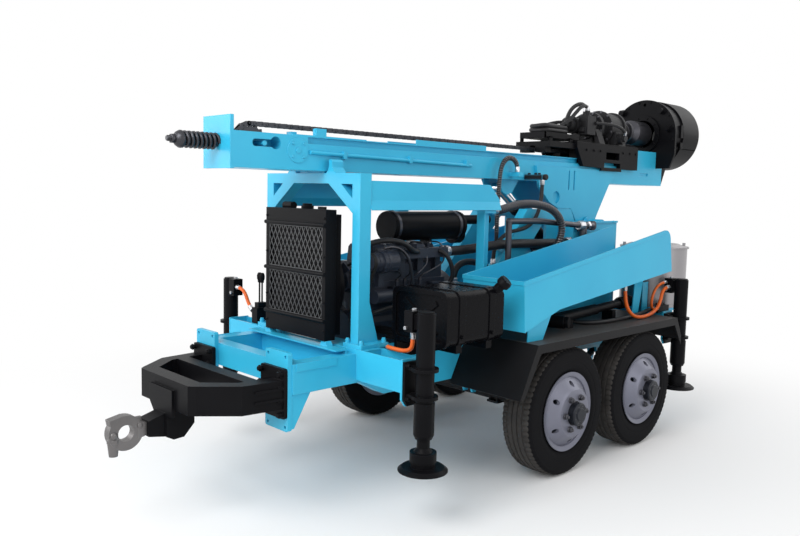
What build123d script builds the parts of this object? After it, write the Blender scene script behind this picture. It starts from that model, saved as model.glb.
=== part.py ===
import os
from math import asin, cos, radians, sin, sqrt, tan

from build123d import *

os.makedirs("parts", exist_ok=True)

# Frame: X across the trailer (+X is the left side in the direction of travel),
# Y along it (tow eye at -Y, drill table at +Y), Z up from the ground.

# running gear
tyre_od = 767
tyre_w = 205
rim_r = 235
barrel_r = 205
dome_r = 140
dome_out = 145
nut_circle = 100
vent_circle = 170
axle_z = tyre_od / 2
wheel_x = 805
hub_pin_r = 30
axle_y = (-193, 663)
drum_r = 160
spring_half = 270
leaf_count = 5
leaf_step = 45
leaf_t = 9
leaf_bend = 626
leaf_in = 347
leaf_out = 393
ubolt_r = 9

# frame
rail_out = 410
rail_in = 330
rail_bot = 560
rail_top = 810
cross_half = 783
cross_bot = 675
cross_top = 835
cross_depth = 130
sheet = 10
front_y = -1861
front_plate_t = 25
rear_y = 1240

# jacks, bolted to the ends of the two crossmembers
jack_x = cross_half + 90
jack_y = (-1375, 1205)
jack_tube_r = 46
jack_bore_r = 38
jack_rod_r = 32
jack_top = 1080
jack_bottom = 460
clamp_z = (800, 665)
clamp_t = 16
foot_r = 123
foot_bottom = 302

# gantry, the mast rest
gantry_y = -1410
gantry_depth = 75
gantry_half = 417
gantry_top = 1737
post_w = 60
ear_top = 1809

# bent side rails behind the gantry
bend_z = 1599
bend_low = 1549
bend_top = 1700
post_y = (-418, -314)

# radiator
rad_half = 270
rad_front = -1515
rad_depth = 70
rad_bot = cross_top + 27
rad_top = 1545
fan_z = 1130
fan_r = 215

# engine, crank centre on X 0
crank_z = 860
engine_front = -1130
engine_rear = -480

# fuel tank
tank_x = (455, 850)
tank_y = (-1205, -755)
tank_z = (865, 1155)

# troughs and mudguards
trough_in = 415
trough_out = 862
trough_t = 8
guard_out = 929
guard_top = 824
guard_lip = 50

# tower
side_x = 165
side_t = 20
wall_x = 300
wall_t = 15
tower_y = (691, 1266)
tower_top = 1465
head_top = 1550
pivot_y = 1085
pivot_z = 1430
pin_r = 28

# mast
mast_half = 127
mast_bot = 1747
mast_side_top = 1885
mast_top = 1925
mast_front = -1991
mast_rear = 2244
head_box_rear = -1526
end_box_y = 1775
end_box_top = 2027
plate_t = 20
sprocket_y = -1792
sprocket_z = 1873
sprocket_r = 90
chain_bot = mast_top + 37
chain_h = 26
chain_w = 34
chain_pitch = 50.8

# rotary head and drill table
spin_z = 2182
spindle_end = 2093
table_y = (2135, 2562)
table_r = 290
bushing_r = 115
ring_r = 157

# lift cylinder, from its pin on the tower to its eye under the mast
lift_base = (0, 855, 1250)
lift_eye = (0, 205, 1690)

run_gap = 0.3
slide_gap = 8


def box(x0, x1, y0, y1, z0, z1, mode=Mode.ADD):
    with Locations(((x0 + x1) / 2, (y0 + y1) / 2, (z0 + z1) / 2)):
        Box(abs(x1 - x0), y1 - y0, z1 - z0, mode=mode)


def cyl_x(r, x0, x1, y, z, mode=Mode.ADD):
    with Locations(Location(((x0 + x1) / 2, y, z), (0, 90, 0))):
        Cylinder(r, abs(x1 - x0), mode=mode)


def cyl_y(r, y0, y1, x, z, mode=Mode.ADD):
    with Locations(Location((x, (y0 + y1) / 2, z), (90, 0, 0))):
        Cylinder(r, y1 - y0, mode=mode)


def cyl_z(r, z0, z1, x, y, mode=Mode.ADD):
    with Locations((x, y, (z0 + z1) / 2)):
        Cylinder(r, z1 - z0, mode=mode)


def rod(r, a, b, mode=Mode.ADD):
    d = Vector(*b) - Vector(*a)
    with Locations(Plane(origin=a, z_dir=d)):
        Cylinder(r, d.length, align=(Align.CENTER, Align.CENTER, Align.MIN), mode=mode)


def taper(r0, r1, a, b, mode=Mode.ADD):
    d = Vector(*b) - Vector(*a)
    with Locations(Plane(origin=a, z_dir=d)):
        Cone(r0, r1, d.length, align=(Align.CENTER, Align.CENTER, Align.MIN), mode=mode)


def side_plate(points, x0, x1, mode=Mode.ADD):
    # a plate whose outline is given as (y, z) points, between two values of x
    x0, x1 = sorted((x0, x1))
    with BuildSketch(Plane.YZ.offset(x0)) as outline:
        with BuildLine():
            Polyline(*points, close=True)
        make_face()
    extrude(outline.sketch, amount=x1 - x0, mode=mode)


def front_plate(points, y0, y1, mode=Mode.ADD):
    # a plate whose outline is given as (x, z) points, between two values of y
    with BuildSketch(Plane.XZ.offset(-y1)) as outline:
        with BuildLine():
            Polyline(*points, close=True)
        make_face()
    extrude(outline.sketch, amount=y1 - y0, mode=mode)


def floor_plate(points, z0, z1, mode=Mode.ADD):
    # a plate whose outline is given as (x, y) points, between two values of z
    with BuildSketch(Plane.XY.offset(z0)) as outline:
        with BuildLine():
            Polyline(*points, close=True)
        make_face()
    extrude(outline.sketch, amount=z1 - z0, mode=mode)


def hose(points, r):
    # straight runs joined by tangent arcs, each arc as large as its two runs allow
    spots = [Vector(*p) for p in points]
    radii = []
    for a, b, c in zip(spots, spots[1:], spots[2:]):
        turn = radians((b - a).get_angle(c - b))
        radii.append(0.45 * min((b - a).length, (c - b).length) / tan(turn / 2))
    print("hose of radius", r, "bends at", [round(value) for value in radii])
    with BuildLine() as path:
        FilletPolyline(*points, radius=radii)
    with BuildSketch(Plane(origin=spots[0], z_dir=spots[1] - spots[0])) as section:
        Circle(r)
    sweep(section.sketch, path=path.line)


# welded main frame
with BuildPart() as chassis_frame:
    for s in (1, -1):
        # main rail, its underside rising towards the front crossmember
        side_plate([(jack_y[0] - cross_depth / 2, cross_bot), (jack_y[0] + 160, rail_bot), (rear_y, rail_bot),
                    (rear_y, rail_top), (jack_y[0] - cross_depth / 2, rail_top)], s * rail_in, s * rail_out)
        # front rail with its edge strip, coupling plate and gusset
        box(s * 360, s * 440, front_y + front_plate_t, jack_y[0], 660, rail_top)
        box(s * 440, s * 446, -1818, -1572, 772, rail_top + 3)
        with BuildSketch(Plane.XZ.offset(-front_y - front_plate_t)) as coupling:
            with Locations((s * 338, 673)):
                RectangleRounded(190, 388, 14)
            with Locations(*[(s * (338 + dx), 673 + dz) for dx in (-72, 72) for dz in (-172, 172)]):
                Circle(8, mode=Mode.SUBTRACT)
        extrude(coupling.sketch, amount=front_plate_t)
        side_plate([(front_y + 20, 490), (front_y + 40, 490), (front_y + 140, 662), (front_y + 20, 662)],
                   s * 415, s * 430)
        # radiator stools
        front_plate([(s * 225, cross_top), (s * 285, cross_top), (s * 270, rad_bot - 4), (s * 240, rad_bot - 4)],
                    rad_front + 5, rad_front + 45)
    # front beam, well floor and channel with its mouth forward
    box(-433, 433, front_y + front_plate_t, front_y + 105, 690, rail_top)
    box(-360, 360, front_y + 105, -1470, 690, 700)
    box(-400, 400, -1478, -1470, 690, cross_top)
    box(-400, 400, -1545, -1470, cross_top - 8, cross_top)
    box(-400, 400, -1545, -1470, 690, 698)
    for y in jack_y:
        box(-cross_half, cross_half, y - cross_depth / 2, y + cross_depth / 2, cross_bot, cross_top)
        for s in (1, -1):
            # the crossmembers are channels open at the top beyond the rails
            box(s * 500, s * (cross_half - 12), y - cross_depth / 2 + sheet, y + cross_depth / 2 - sheet,
                cross_bot + sheet, cross_top + 1, mode=Mode.SUBTRACT)
            side_plate([(y - 66, cross_top + 5), (y + 66, cross_top + 5), (y + 66, 640), (y + 40, 605),
                        (y - 40, 605), (y - 66, 640)], s * (cross_half - 12), s * cross_half)
    for y in (-1000, -430):
        box(-rail_in, rail_in, y - 40, y + 40, 600, 680)
    box(-rail_in, rail_in, 540, rear_y - 60, rail_top - 12, rail_top)
    box(-rail_in, rail_in, -395, -195, rail_top - 12, rail_top)
    for y in (-300, 560, 1000):
        box(-rail_in, rail_in, y - 50, y + 50, 640, rail_top - 12)
    # spring hangers
    for y in axle_y:
        for end in (-1, 1):
            yc = y + end * spring_half
            for s in (1, -1):
                side_plate([(yc - 56, rail_bot + 2), (yc + 56, rail_bot + 2), (yc + 14, axle_z + 60),
                            (yc - 14, axle_z + 60)], s * (rail_out - 15), s * rail_out)
                side_plate([(yc - 56, rail_bot + 2), (yc + 56, rail_bot + 2), (yc + 14, axle_z + 60),
                            (yc - 14, axle_z + 60)], s * rail_in, s * (rail_in + 15))
    # shelf for the round tank, stiffened below
    box(380, 720, 1185, 1590, cross_top, cross_top + 15)
    for x in (420, 660):
        side_plate([(1265, cross_top), (1265, 720), (1290, 720), (1570, cross_top)], x, x + 12)
    # rear stiffener plate below the left trough
    box(640, 648, 1075, 1150, guard_top + run_gap, 1040)
chassis_frame.part.label = "chassis_frame"
export_step(chassis_frame.part, "parts/chassis_frame.step")

# black drawbar bolted to the two coupling plates
beam_y = -2280
arm_z = (595, 735)
with BuildPart() as drawbar:
    for s in (1, -1):
        floor_plate([(0, beam_y), (s * 235, beam_y), (s * 262, beam_y + 25), (s * 395, beam_y + 190),
                     (s * 420, front_y - 20), (s * 340, front_y - 20), (s * 322, beam_y + 215),
                     (s * 205, beam_y + 80), (0, beam_y + 80)], *arm_z)
        # flange with its bolt heads and two tapered webs
        with BuildSketch(Plane.XZ.offset(-front_y)) as flange:
            with Locations((s * 331, 668)):
                RectangleRounded(200, 245, 12)
        extrude(flange.sketch, amount=20)
        with Locations(*[Location((s * 331 + dx, front_y - 27, 668 + dz), (90, 0, 0))
                         for dx in (-82, 82) for dz in (-100, -34, 34, 100)]):
            Cylinder(13, 16)
        for z in (640, 690):
            floor_plate([(s * 405, beam_y + 260), (s * 412, beam_y + 250), (s * 429, front_y - 18),
                         (s * 405, front_y - 18)], z, z + 10)
    box(-345, 345, -2035, -1965, 640, arm_z[1])
    # hitch bracket: a bolted plate on the beam's face and the hull that carries the yoke
    front_plate([(-112, 690), (112, 690), (112, 560), (60, 545), (-60, 545), (-112, 600)], beam_y - 16, beam_y)
    side_plate([(beam_y - 16, 600), (beam_y - 16, 455), (beam_y + 20, 436), (beam_y + 75, 440),
                (beam_y + 130, 500), (beam_y + 130, 600)], -62, 62)
    side_plate([(beam_y - 16, 570), (beam_y - 100, 545), (beam_y - 100, 470), (beam_y - 16, 455)], -48, 48)
    box(-28, 28, beam_y - 101, beam_y - 70, 475, 540, mode=Mode.SUBTRACT)
drawbar.part.label = "drawbar"
export_step(drawbar.part, "parts/drawbar.step")

# tow eye: a forged ring in the upright plane, its shank in the yoke and a pin boss below its nose
eye_y = -2479
with BuildPart() as tow_eye:
    with BuildSketch(Plane.YZ) as ring:
        with Locations((eye_y, 503)):
            Circle(83)
        with Locations((eye_y - 40, 560)):
            Rectangle(70, 40, rotation=12)
    extrude(ring.sketch, amount=24, both=True)
    side_plate([(eye_y + 60, 545), (eye_y + 128, 532), (eye_y + 128, 482), (eye_y + 60, 466)], -26, 26)
    taper(20, 27, (0, eye_y - 52, 398), (0, eye_y - 52, 462))
    cyl_z(29, 462, 480, 0, eye_y - 52)
    cyl_x(38, -40, 40, eye_y, 503, mode=Mode.SUBTRACT)
tow_eye.part.label = "tow_eye"
export_step(tow_eye.part, "parts/tow_eye.step")

# mast rest: two posts, a cut-out cross plate and guide ears
with BuildPart() as gantry:
    y0 = gantry_y
    y1 = gantry_y + gantry_depth
    post_in = gantry_half - post_w
    front_plate([(-gantry_half, cross_top), (-gantry_half, gantry_top), (gantry_half, gantry_top),
                 (gantry_half, cross_top), (post_in, cross_top), (post_in, 1530), (155, 1682), (-155, 1682),
                 (-post_in, 1530), (-post_in, cross_top)], y0, y1)
    for s in (1, -1):
        front_plate([(s * (post_in - 4), 1680), (s * (post_in - 95), 1680), (s * (post_in - 4), 1606)],
                    y0 - 1, y0 + 60, mode=Mode.SUBTRACT)
        front_plate([(s * (mast_half + slide_gap), gantry_top), (s * 215, gantry_top), (s * 186, 1768),
                     (s * 186, ear_top - 12), (s * 174, ear_top), (s * 158, ear_top), (s * 158, 1775),
                     (s * 150, 1752)], y0, y1)
        side_plate([(y1 - 1, cross_top), (y1 + 70, cross_top), (y1 - 1, 1071)], s * post_in, s * gantry_half)
        box(s * (post_in - 30), s * (gantry_half + 55), y0 - 25, y1 + 90, cross_top, cross_top + 20)
        for dy in (-8, 148):
            for x in (post_in - 14, gantry_half + 36):
                cyl_z(13, cross_top + 20, cross_top + 34, s * x, y0 + dy)
    # dark rest pad under the mast
    box(-110, 110, y0 + 8, y1 - 8, gantry_top, mast_bot)
gantry.part.label = "gantry"
export_step(gantry.part, "parts/gantry.step")

# two bent side rails behind the gantry, on rear posts
with BuildPart() as upper_frame:
    y1 = gantry_y + gantry_depth
    for s in (1, -1):
        front_plate([(s * (rail_out - 6), bend_top), (s * rail_out, bend_top), (s * rail_out, bend_z),
                     (s * (rail_out + 16), bend_low), (s * (rail_out + 10), bend_low - 2),
                     (s * (rail_out - 6), bend_z - 2)], y1, -282)
        box(s * 355, s * (rail_out - 6), y1, -375, bend_top - 6, bend_top)
        side_plate([(-375, bend_top + 1), (-281, 1611), (-281, bend_top + 1)], s * 300, s * 440,
                   mode=Mode.SUBTRACT)
        box(s * 350, s * rail_out, post_y[0], post_y[1], rail_top, bend_z + 20)
        box(s * 356, s * (rail_out + 1), post_y[0] + 6, post_y[1] + 1, 900, bend_low - 20, mode=Mode.SUBTRACT)
        box(s * 340, s * rail_out, post_y[0] - 12, post_y[1] + 12, rail_top, rail_top + 12)
    cyl_y(26, post_y[1] - 2, post_y[1] + 12, 372, 1545)
upper_frame.part.label = "upper_frame"
export_step(upper_frame.part, "parts/upper_frame.step")

# radiator: a deep front frame with two grille fields, the core behind it and the fan shroud
field_z = (972, 1198, 1222, 1452)
with BuildPart() as radiator:
    rad_back = rad_front + rad_depth
    box(-rad_half, rad_half, rad_front, rad_back, rad_bot, rad_top)
    for z0, z1 in (field_z[:2], field_z[2:]):
        box(-rad_half + 26, rad_half - 26, rad_front - 1, rad_front + 22, z0, z1, mode=Mode.SUBTRACT)
    # core and side tanks, set in from the frame
    box(-rad_half + 14, rad_half - 14, rad_back, rad_front + 115, rad_bot + 20, rad_top - 25)
    for z in (field_z[0] - 9, (field_z[1] + field_z[2]) / 2, field_z[3] + 12):
        cyl_x(11, -rad_half, rad_half, rad_front - 4, z)
    for s in (1, -1):
        box(s * (rad_half - 45), s * rad_half, rad_front, rad_back, cross_top + 24, rad_bot + 1)
        box(s * (rad_half - 75), s * (rad_half + 0), rad_front + 2, rad_back, cross_top + 23, cross_top + 29)
    cyl_y(fan_r + 22, rad_front + 115, rad_front + 160, 0, fan_z)
    cyl_y(fan_r + 10, rad_front + 130, rad_front + 161, 0, fan_z, mode=Mode.SUBTRACT)
    # filler cap, hose neck and lifting handle on the top tank
    cyl_z(34, rad_top, rad_top + 16, 40, rad_front + 55)
    cyl_z(26, rad_top + 16, rad_top + 28, 40, rad_front + 55)
    cyl_x(22, -200, -120, rad_front + 80, rad_top + 12)
    box(150, 210, rad_front + 40, rad_front + 52, rad_top, rad_top + 14)
radiator.part.label = "radiator"
export_step(radiator.part, "parts/radiator.step")

# engine, open to view: sump, block, head, covers, front drive, manifold, pump, starter and filter
port_y = [-1020 + 150 * k for k in range(4)]
with BuildPart() as engine_block:
    side_plate([(engine_front + 60, 760), (engine_front + 60, 690), (engine_rear - 180, 690),
                (engine_rear - 140, 730), (engine_rear - 40, 760)], -125, 125)
    front_plate([(-165, 760), (165, 760), (165, 900), (150, 930), (150, 1130), (-150, 1130), (-150, 930),
                 (-165, 900)], engine_front + 30, engine_rear)
    front_plate([(-132, 1130), (140, 1130), (140, 1225), (100, 1235), (-132, 1235)], engine_front + 40,
                engine_rear - 20)
    front_plate([(-90, 1235), (90, 1235), (78, 1320), (60, 1338), (-60, 1338), (-78, 1320)],
                engine_front + 60, engine_rear - 30)
    for y in port_y:
        box(-95, 95, y - 9, y + 9, 1235, 1343)
    # timing cover, pulleys, belt and fan
    front_plate([(-150, 770), (150, 770), (150, 1060), (90, 1200), (-90, 1200), (-150, 1060)],
                engine_front - 10, engine_front + 30)
    cyl_y(98, engine_front - 60, engine_front - 10, 0, crank_z)
    cyl_y(66, engine_front - 60, engine_front - 10, 0, fan_z)
    cyl_y(48, engine_front - 57, engine_front - 10, 235, 1254)
    cyl_y(30, engine_front - 175, engine_front - 10, 0, fan_z)
    cyl_y(60, engine_front - 190, engine_front - 150, 0, fan_z)
    for k in range(6):
        with Locations(Location((0, engine_front - 170, fan_z), (0, 60 * k, 0))):
            with Locations(Location((0, 0, (fan_r + 52) / 2), (0, 0, 28))):
                Box(54, 5, fan_r - 52)
    # alternator on its bracket
    cyl_y(62, engine_front + 20, engine_front + 130, 235, 1254)
    cyl_y(52, engine_front - 10, engine_front + 20, 235, 1254)
    cyl_y(66, engine_front + 50, engine_front + 66, 235, 1254)
    box(140, 200, engine_front + 40, engine_front + 110, 1170, 1205)
    box(180, 215, engine_front + 40, engine_front + 80, 1110, 1200)
    # inlet manifold with four runners on the left, exhaust manifold with four on the right
    box(160, 232, -1050, -540, 1262, 1318)
    box(170, 222, -800, -745, 1318, 1344)
    for y in port_y:
        box(120, 175, y - 22, y + 22, 1180, 1280)
        cyl_x(24, -190, -120, y, 1190)
        for dy in (-20, 20):
            cyl_z(8, 1318, 1326, 214, y + dy)
    cyl_y(38, -1060, -540, -190, 1190)
    # injection pump, lift pump, starter, filter and governor
    box(150, 225, -960, -690, 1010, 1100)
    for k in range(4):
        cyl_z(13, 1100, 1128, 188, -920 + 62 * k)
    cyl_y(44, -690, -640, 188, 1050)
    cyl_y(40, -1100, -960, 188, 1050)
    cyl_y(52, -660, -480, 178, 890)
    cyl_y(32, -720, -660, 178, 890)
    cyl_z(46, 930, 1050, 205, -600)
    cyl_z(30, 1050, 1065, 205, -600)
    box(140, 205, -640, -560, 1065, 1110)
    # bell housing, coupling and the two pumps in line behind it
    cyl_y(205, engine_rear - 2, engine_rear + 75, 0, 960)
    taper(150, 100, (0, engine_rear + 75, 960), (0, engine_rear + 130, 960))
    cyl_y(75, engine_rear + 130, engine_rear + 260, 0, 960)
    cyl_y(90, engine_rear + 150, engine_rear + 170, 0, 960)
    box(-60, 60, engine_rear + 190, engine_rear + 240, 900, 1060)
engine_block.part.label = "engine_block"
export_step(engine_block.part, "parts/engine_block.step")

# four mounts: arms from the crankcase's sides to rubber pads on the rails
with BuildPart() as engine_mounts:
    for y in (-1040, -760):
        for s in (1, -1):
            box(s * 165, s * rail_in, y - 28, y + 28, rail_top + 34, rail_top + 68)
            box(s * (rail_in - 60), s * (rail_in + 40), y - 36, y + 36, rail_top + 18, rail_top + 40)
            cyl_z(26, rail_top, rail_top + 20, s * (rail_in + 5), y)
engine_mounts.part.label = "engine_mounts"
export_step(engine_mounts.part, "parts/engine_mounts.step")

# muffler on two saddles, with its flue and the turbine pipe down to the manifold
with BuildPart() as muffler:
    cyl_y(88, -900, -275, 60, 1442)
    cyl_y(92, -885, -875, 60, 1442)
    cyl_y(92, -300, -290, 60, 1442)
    cyl_y(30, -276, -20, 100, 1478)
    cyl_y(24, -60, -19, 100, 1478, mode=Mode.SUBTRACT)
    for y in (-800, -560):
        box(20, 100, y - 12, y + 12, 1343 + run_gap, 1370)
    cyl_y(62, -330, -262, 60, 1388)
muffler.part.label = "muffler"
export_step(muffler.part, "parts/muffler.step")

# fuel tank: pressed ends, swages, two straps, filler and its bracket
with BuildPart() as fuel_tank:
    xc = (tank_x[0] + tank_x[1]) / 2
    zc = (tank_z[0] + tank_z[1]) / 2
    w = tank_x[1] - tank_x[0]
    h = tank_z[1] - tank_z[0]
    for y0, y1, grow in ((tank_y[0], tank_y[0] + 22, 0), (tank_y[0] + 22, tank_y[1], -5)):
        with BuildSketch(Plane.XZ.offset(-y1)) as body:
            with Locations((xc, zc)):
                RectangleRounded(w + 2 * grow, h + 2 * grow, 45)
        extrude(body.sketch, amount=y1 - y0)
    with BuildSketch(Plane.XZ.offset(-tank_y[0] - 12)) as recess:
        with Locations((xc, zc)):
            RectangleRounded(w - 50, h - 50, 36)
    extrude(recess.sketch, amount=13, mode=Mode.SUBTRACT)
    for turn in (35, -35):
        with Locations(Location((xc, tank_y[0] + 8, zc), (0, turn, 0))):
            Box(w * 0.72, 9, 26)
    for y in (tank_y[0] + 95, tank_y[0] + 330):
        with BuildSketch(Plane.XZ.offset(-y - 45)) as strap:
            with Locations((xc, zc)):
                RectangleRounded(w, h, 46)
        extrude(strap.sketch, amount=45)
        box(rail_out, tank_x[1] - 20, y, y + 45, tank_z[0] - 32, tank_z[0] + 10)
        cyl_x(10, tank_x[1] - 2, tank_x[1] + 12, y + 22, tank_z[0] + 55)
    rod(26, (790, tank_y[1] - 52, 1104), (858, tank_y[1] - 20, 1178))
    rod(34, (845, tank_y[1] - 26, 1164), (872, tank_y[1] - 14, 1193))
    box(rail_out, rail_out + 20, tank_y[0] + 60, tank_y[1] - 40, rail_top - 60, tank_z[0] + 10)
fuel_tank.part.label = "fuel_tank"
export_step(fuel_tank.part, "parts/fuel_tank.step")

# four jack tubes, each on a bolted plate with two clamps, and its lock valve
with BuildPart() as jack_tubes:
    for y in jack_y:
        for s in (1, -1):
            side_plate([(y - 62, 828), (y + 62, 828), (y + 62, 640), (y + 40, 610), (y - 40, 610),
                        (y - 62, 640)], s * cross_half, s * (cross_half + 14))
            for z in clamp_z:
                box(s * (cross_half + 14), s * jack_x, y - 50, y + 50, z - clamp_t / 2, z + clamp_t / 2)
                cyl_z(jack_tube_r + 20, z - clamp_t / 2, z + clamp_t / 2, s * jack_x, y)
            for dy in (-48, 48):
                for z in (648, 812):
                    cyl_x(11, s * (cross_half + 14), s * (cross_half + 24), y + dy, z)
            cyl_z(jack_tube_r, 610, jack_top - 8, s * jack_x, y)
            cyl_z(jack_tube_r - 6, jack_top - 8, jack_top, s * jack_x, y)
            cyl_z(jack_tube_r + 5, jack_bottom + 20, 640, s * jack_x, y)
            taper(jack_tube_r - 4, jack_tube_r + 5, (s * jack_x, y, jack_bottom), (s * jack_x, y, jack_bottom + 20))
            box(s * (jack_x - 106), s * (jack_x - 50), y - 45, y + 20, 975, 1078)
            box(s * (jack_x - 52), s * (jack_x - 30), y - 30, y + 15, 990, 1065)
            cyl_z(jack_bore_r, jack_bottom - 1, jack_top - 22, s * jack_x, y, mode=Mode.SUBTRACT)
jack_tubes.part.label = "jack_tubes"
export_step(jack_tubes.part, "parts/jack_tubes.step")


def jack_leg(x, y):
    # piston, rod, swivel hub and foot
    cyl_z(jack_bore_r - run_gap, jack_top - 100, jack_top - 60, x, y)
    cyl_z(jack_rod_r, 395, jack_top - 60, x, y)
    taper(jack_rod_r + 20, jack_rod_r, (x, y, 390), (x, y, 415))
    cyl_z(66, foot_bottom + 45, 396, x, y)
    cyl_z(60, foot_bottom + 10, foot_bottom + 45, x, y)
    taper(foot_r, foot_r - 18, (x, y, foot_bottom + 6), (x, y, foot_bottom + 20))
    cyl_z(foot_r, foot_bottom, foot_bottom + 6, x, y)


corners = {"fl": (1, 0), "fr": (-1, 0), "rl": (1, 1), "rr": (-1, 1)}
for corner, (s, row) in corners.items():
    with BuildPart() as leg:
        jack_leg(s * jack_x, jack_y[row])
    leg.part.label = "jack_leg_" + corner
    export_step(leg.part, "parts/jack_leg_" + corner + ".step")

# mudguards: a bent sheet over each pair of wheels with a turned-down edge
guard_line = [(-690, 535), (-543, guard_top), (1057, guard_top), (1209, 535)]
guard_line_in = [(1199, 530), (1050, guard_top - 10), (-537, guard_top - 10), (-680, 530)]
lip_line = [(1185, 540), (1030, guard_top - guard_lip), (-515, guard_top - guard_lip), (-650, 540)]
with BuildPart() as mudguards:
    for s in (1, -1):
        side_plate(guard_line + guard_line_in, s * rail_out, s * guard_out)
        side_plate(guard_line + lip_line, s * (guard_out - 8), s * guard_out)
        box(s * 700, s * (guard_out + 1), jack_y[1] - 78, jack_y[1] + 40, 500, guard_top - guard_lip - 30,
            mode=Mode.SUBTRACT)
        box(s * (cross_half - 45), s * (guard_out + 1), jack_y[1] - 78, jack_y[1] + 40, 500, guard_top + 1,
            mode=Mode.SUBTRACT)
mudguards.part.label = "mudguards"
export_step(mudguards.part, "parts/mudguards.step")

# open troughs above the mudguards, widening to the rear, with folded rims
trough_low = [(-582, 887), (-256, 990), (1070, 1141)]
rim_y = (-605, 1018)
rim_z = (1173, 1436)
with BuildPart() as trays:
    for s in (1, -1):
        for x0, x1, radius in ((trough_in, trough_in + trough_t, 12), (trough_out - trough_t, trough_out, 70)):
            with BuildSketch(Plane.YZ.offset(min(s * x0, s * x1))) as wall:
                with BuildLine():
                    Polyline(*trough_low, (rim_y[1], rim_z[1]), (rim_y[0], rim_z[0]), close=True)
                make_face()
                fillet(wall.vertices().sort_by(Axis.Z)[-1], radius)
            extrude(wall.sketch, amount=trough_t)
        # floor, front wall and the folded rims of the two long walls
        side_plate(trough_low + [(1068, 1151), (-258, 1000), (-582, 897)], s * trough_in, s * trough_out)
        side_plate([(rim_y[0], rim_z[0]), (-582, 887), (-574, 887), (rim_y[0] + 8, rim_z[0])],
                   s * trough_in, s * trough_out)
        for x0, x1 in ((rail_out, trough_in + trough_t), (trough_out - trough_t, trough_out + 3)):
            side_plate([(rim_y[0], rim_z[0]), (rim_y[0], rim_z[0] - 24), (940, 1399), (940, 1423)],
                       s * x0, s * x1)
        side_plate([(rim_y[0] - 4, rim_z[0]), (rim_y[0] - 2, rim_z[0] - 24), (rim_y[0] + 12, rim_z[0] - 24),
                    (rim_y[0] + 12, rim_z[0])], s * trough_in, s * trough_out)
        # skirt down to the mudguard on the inner side and a foot at the outer front corner
        side_plate([(-540, guard_top), (1000, guard_top), (1060, 1141), (-256, 991), (-540, 900)],
                   s * trough_in, s * (trough_in + trough_t))
        side_plate([(-520, guard_top), (-380, guard_top), (-300, 975), (-520, 908)], s * 830, s * 838)
        side_plate([(850, guard_top), (930, guard_top), (1000, 1134), (880, 1120)], s * 690, s * 698)
    rod(16, (798, 565.4, 1070), (798, 563.2, 1089))
trays.part.label = "trays"
export_step(trays.part, "parts/trays.step")


def leaf_stack(y, z, x0, x1):
    # leaves bent about one centre, each longer than the one below it
    centre = z + leaf_bend
    with BuildSketch(Plane.YZ.offset(min(x0, x1))) as outline:
        for k in range(leaf_count):
            outer = leaf_bend - leaf_t * k
            inner = outer - leaf_t
            half = asin((spring_half - leaf_step * (leaf_count - 1 - k)) / outer)
            rim = [(y + r * sin(a), centre - r * cos(a)) for r, a in
                   ((outer, -half), (outer, 0), (outer, half), (inner, half), (inner, 0), (inner, -half))]
            with BuildLine():
                ThreePointArc(rim[0], rim[1], rim[2])
                Line(rim[2], rim[3])
                ThreePointArc(rim[3], rim[4], rim[5])
                Line(rim[5], rim[0])
            make_face()
    extrude(outline.sketch, amount=abs(x1 - x0))


# axles on leaf springs held by U-bolts, with brake drums
leaf_z = axle_z + 50
leaf_top = leaf_z + leaf_t * leaf_count
with BuildPart() as axles:
    for y in axle_y:
        cyl_x(40, -655, 655, y, axle_z)
        cyl_x(hub_pin_r, -wheel_x - 50, wheel_x + 50, y, axle_z)
        for s in (1, -1):
            cyl_x(drum_r, s * 640, s * 732, y, axle_z)
            cyl_x(drum_r + 8, s * 640, s * 655, y, axle_z)
            box(s * (leaf_in - 2), s * (leaf_out + 2), y - 50, y + 50, axle_z + 30, leaf_z + 10)
            leaf_stack(y, leaf_z, s * leaf_in, s * leaf_out)
            for x in (leaf_in - ubolt_r + 3, leaf_out + ubolt_r - 3):
                for dy in (-32, 32):
                    cyl_z(ubolt_r, leaf_z - 100, leaf_top + 17, s * x, y + dy)
            for z0, z1 in ((leaf_top - 3, leaf_top + 9), (leaf_z - 102, leaf_z - 88)):
                box(s * (leaf_in - 19), s * (leaf_out + 19), y - 48, y + 48, z0, z1)
            for end in (-1, 1):
                cyl_x(18, s * (rail_in + 15), s * (rail_out - 15), y + end * (spring_half - 4), axle_z + 148)
axles.part.label = "axles"
export_step(axles.part, "parts/axles.step")


def wheel_rim():
    # barrel, raised disc and hub, turned about the axle; the dish looks along +Y
    bore = hub_pin_r + run_gap
    pts = [(bore, -60), (76, -60), (76, dome_out - 16), (dome_r - 5, dome_out - 16), (187, 80), (190, 60),
           (barrel_r, 60), (barrel_r, -85), (rim_r, -95), (rim_r, -88), (214, -78), (214, 88), (rim_r, 95),
           (rim_r, 101), (barrel_r + 3, 92), (barrel_r, 84), (197, 90), (dome_r + 12, dome_out - 10),
           (dome_r, dome_out), (68, dome_out), (68, dome_out + 34), (60, dome_out + 40), (40, dome_out + 40),
           (36, dome_out + 46), (0, dome_out + 46), (0, 52), (bore, 52)]
    with BuildSketch(Plane.XY) as profile:
        with BuildLine():
            Polyline(*pts, close=True)
        make_face()
    revolve(profile.sketch, axis=Axis.Y, revolution_arc=360)
    for k in range(6):
        turn = radians(60 * k)
        cyl_y(12, dome_out - 8, dome_out + 18, nut_circle * cos(turn), nut_circle * sin(turn))
        turn = radians(60 * k + 30)
        cyl_y(15, 50, dome_out, vent_circle * cos(turn), vent_circle * sin(turn), mode=Mode.SUBTRACT)


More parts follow.
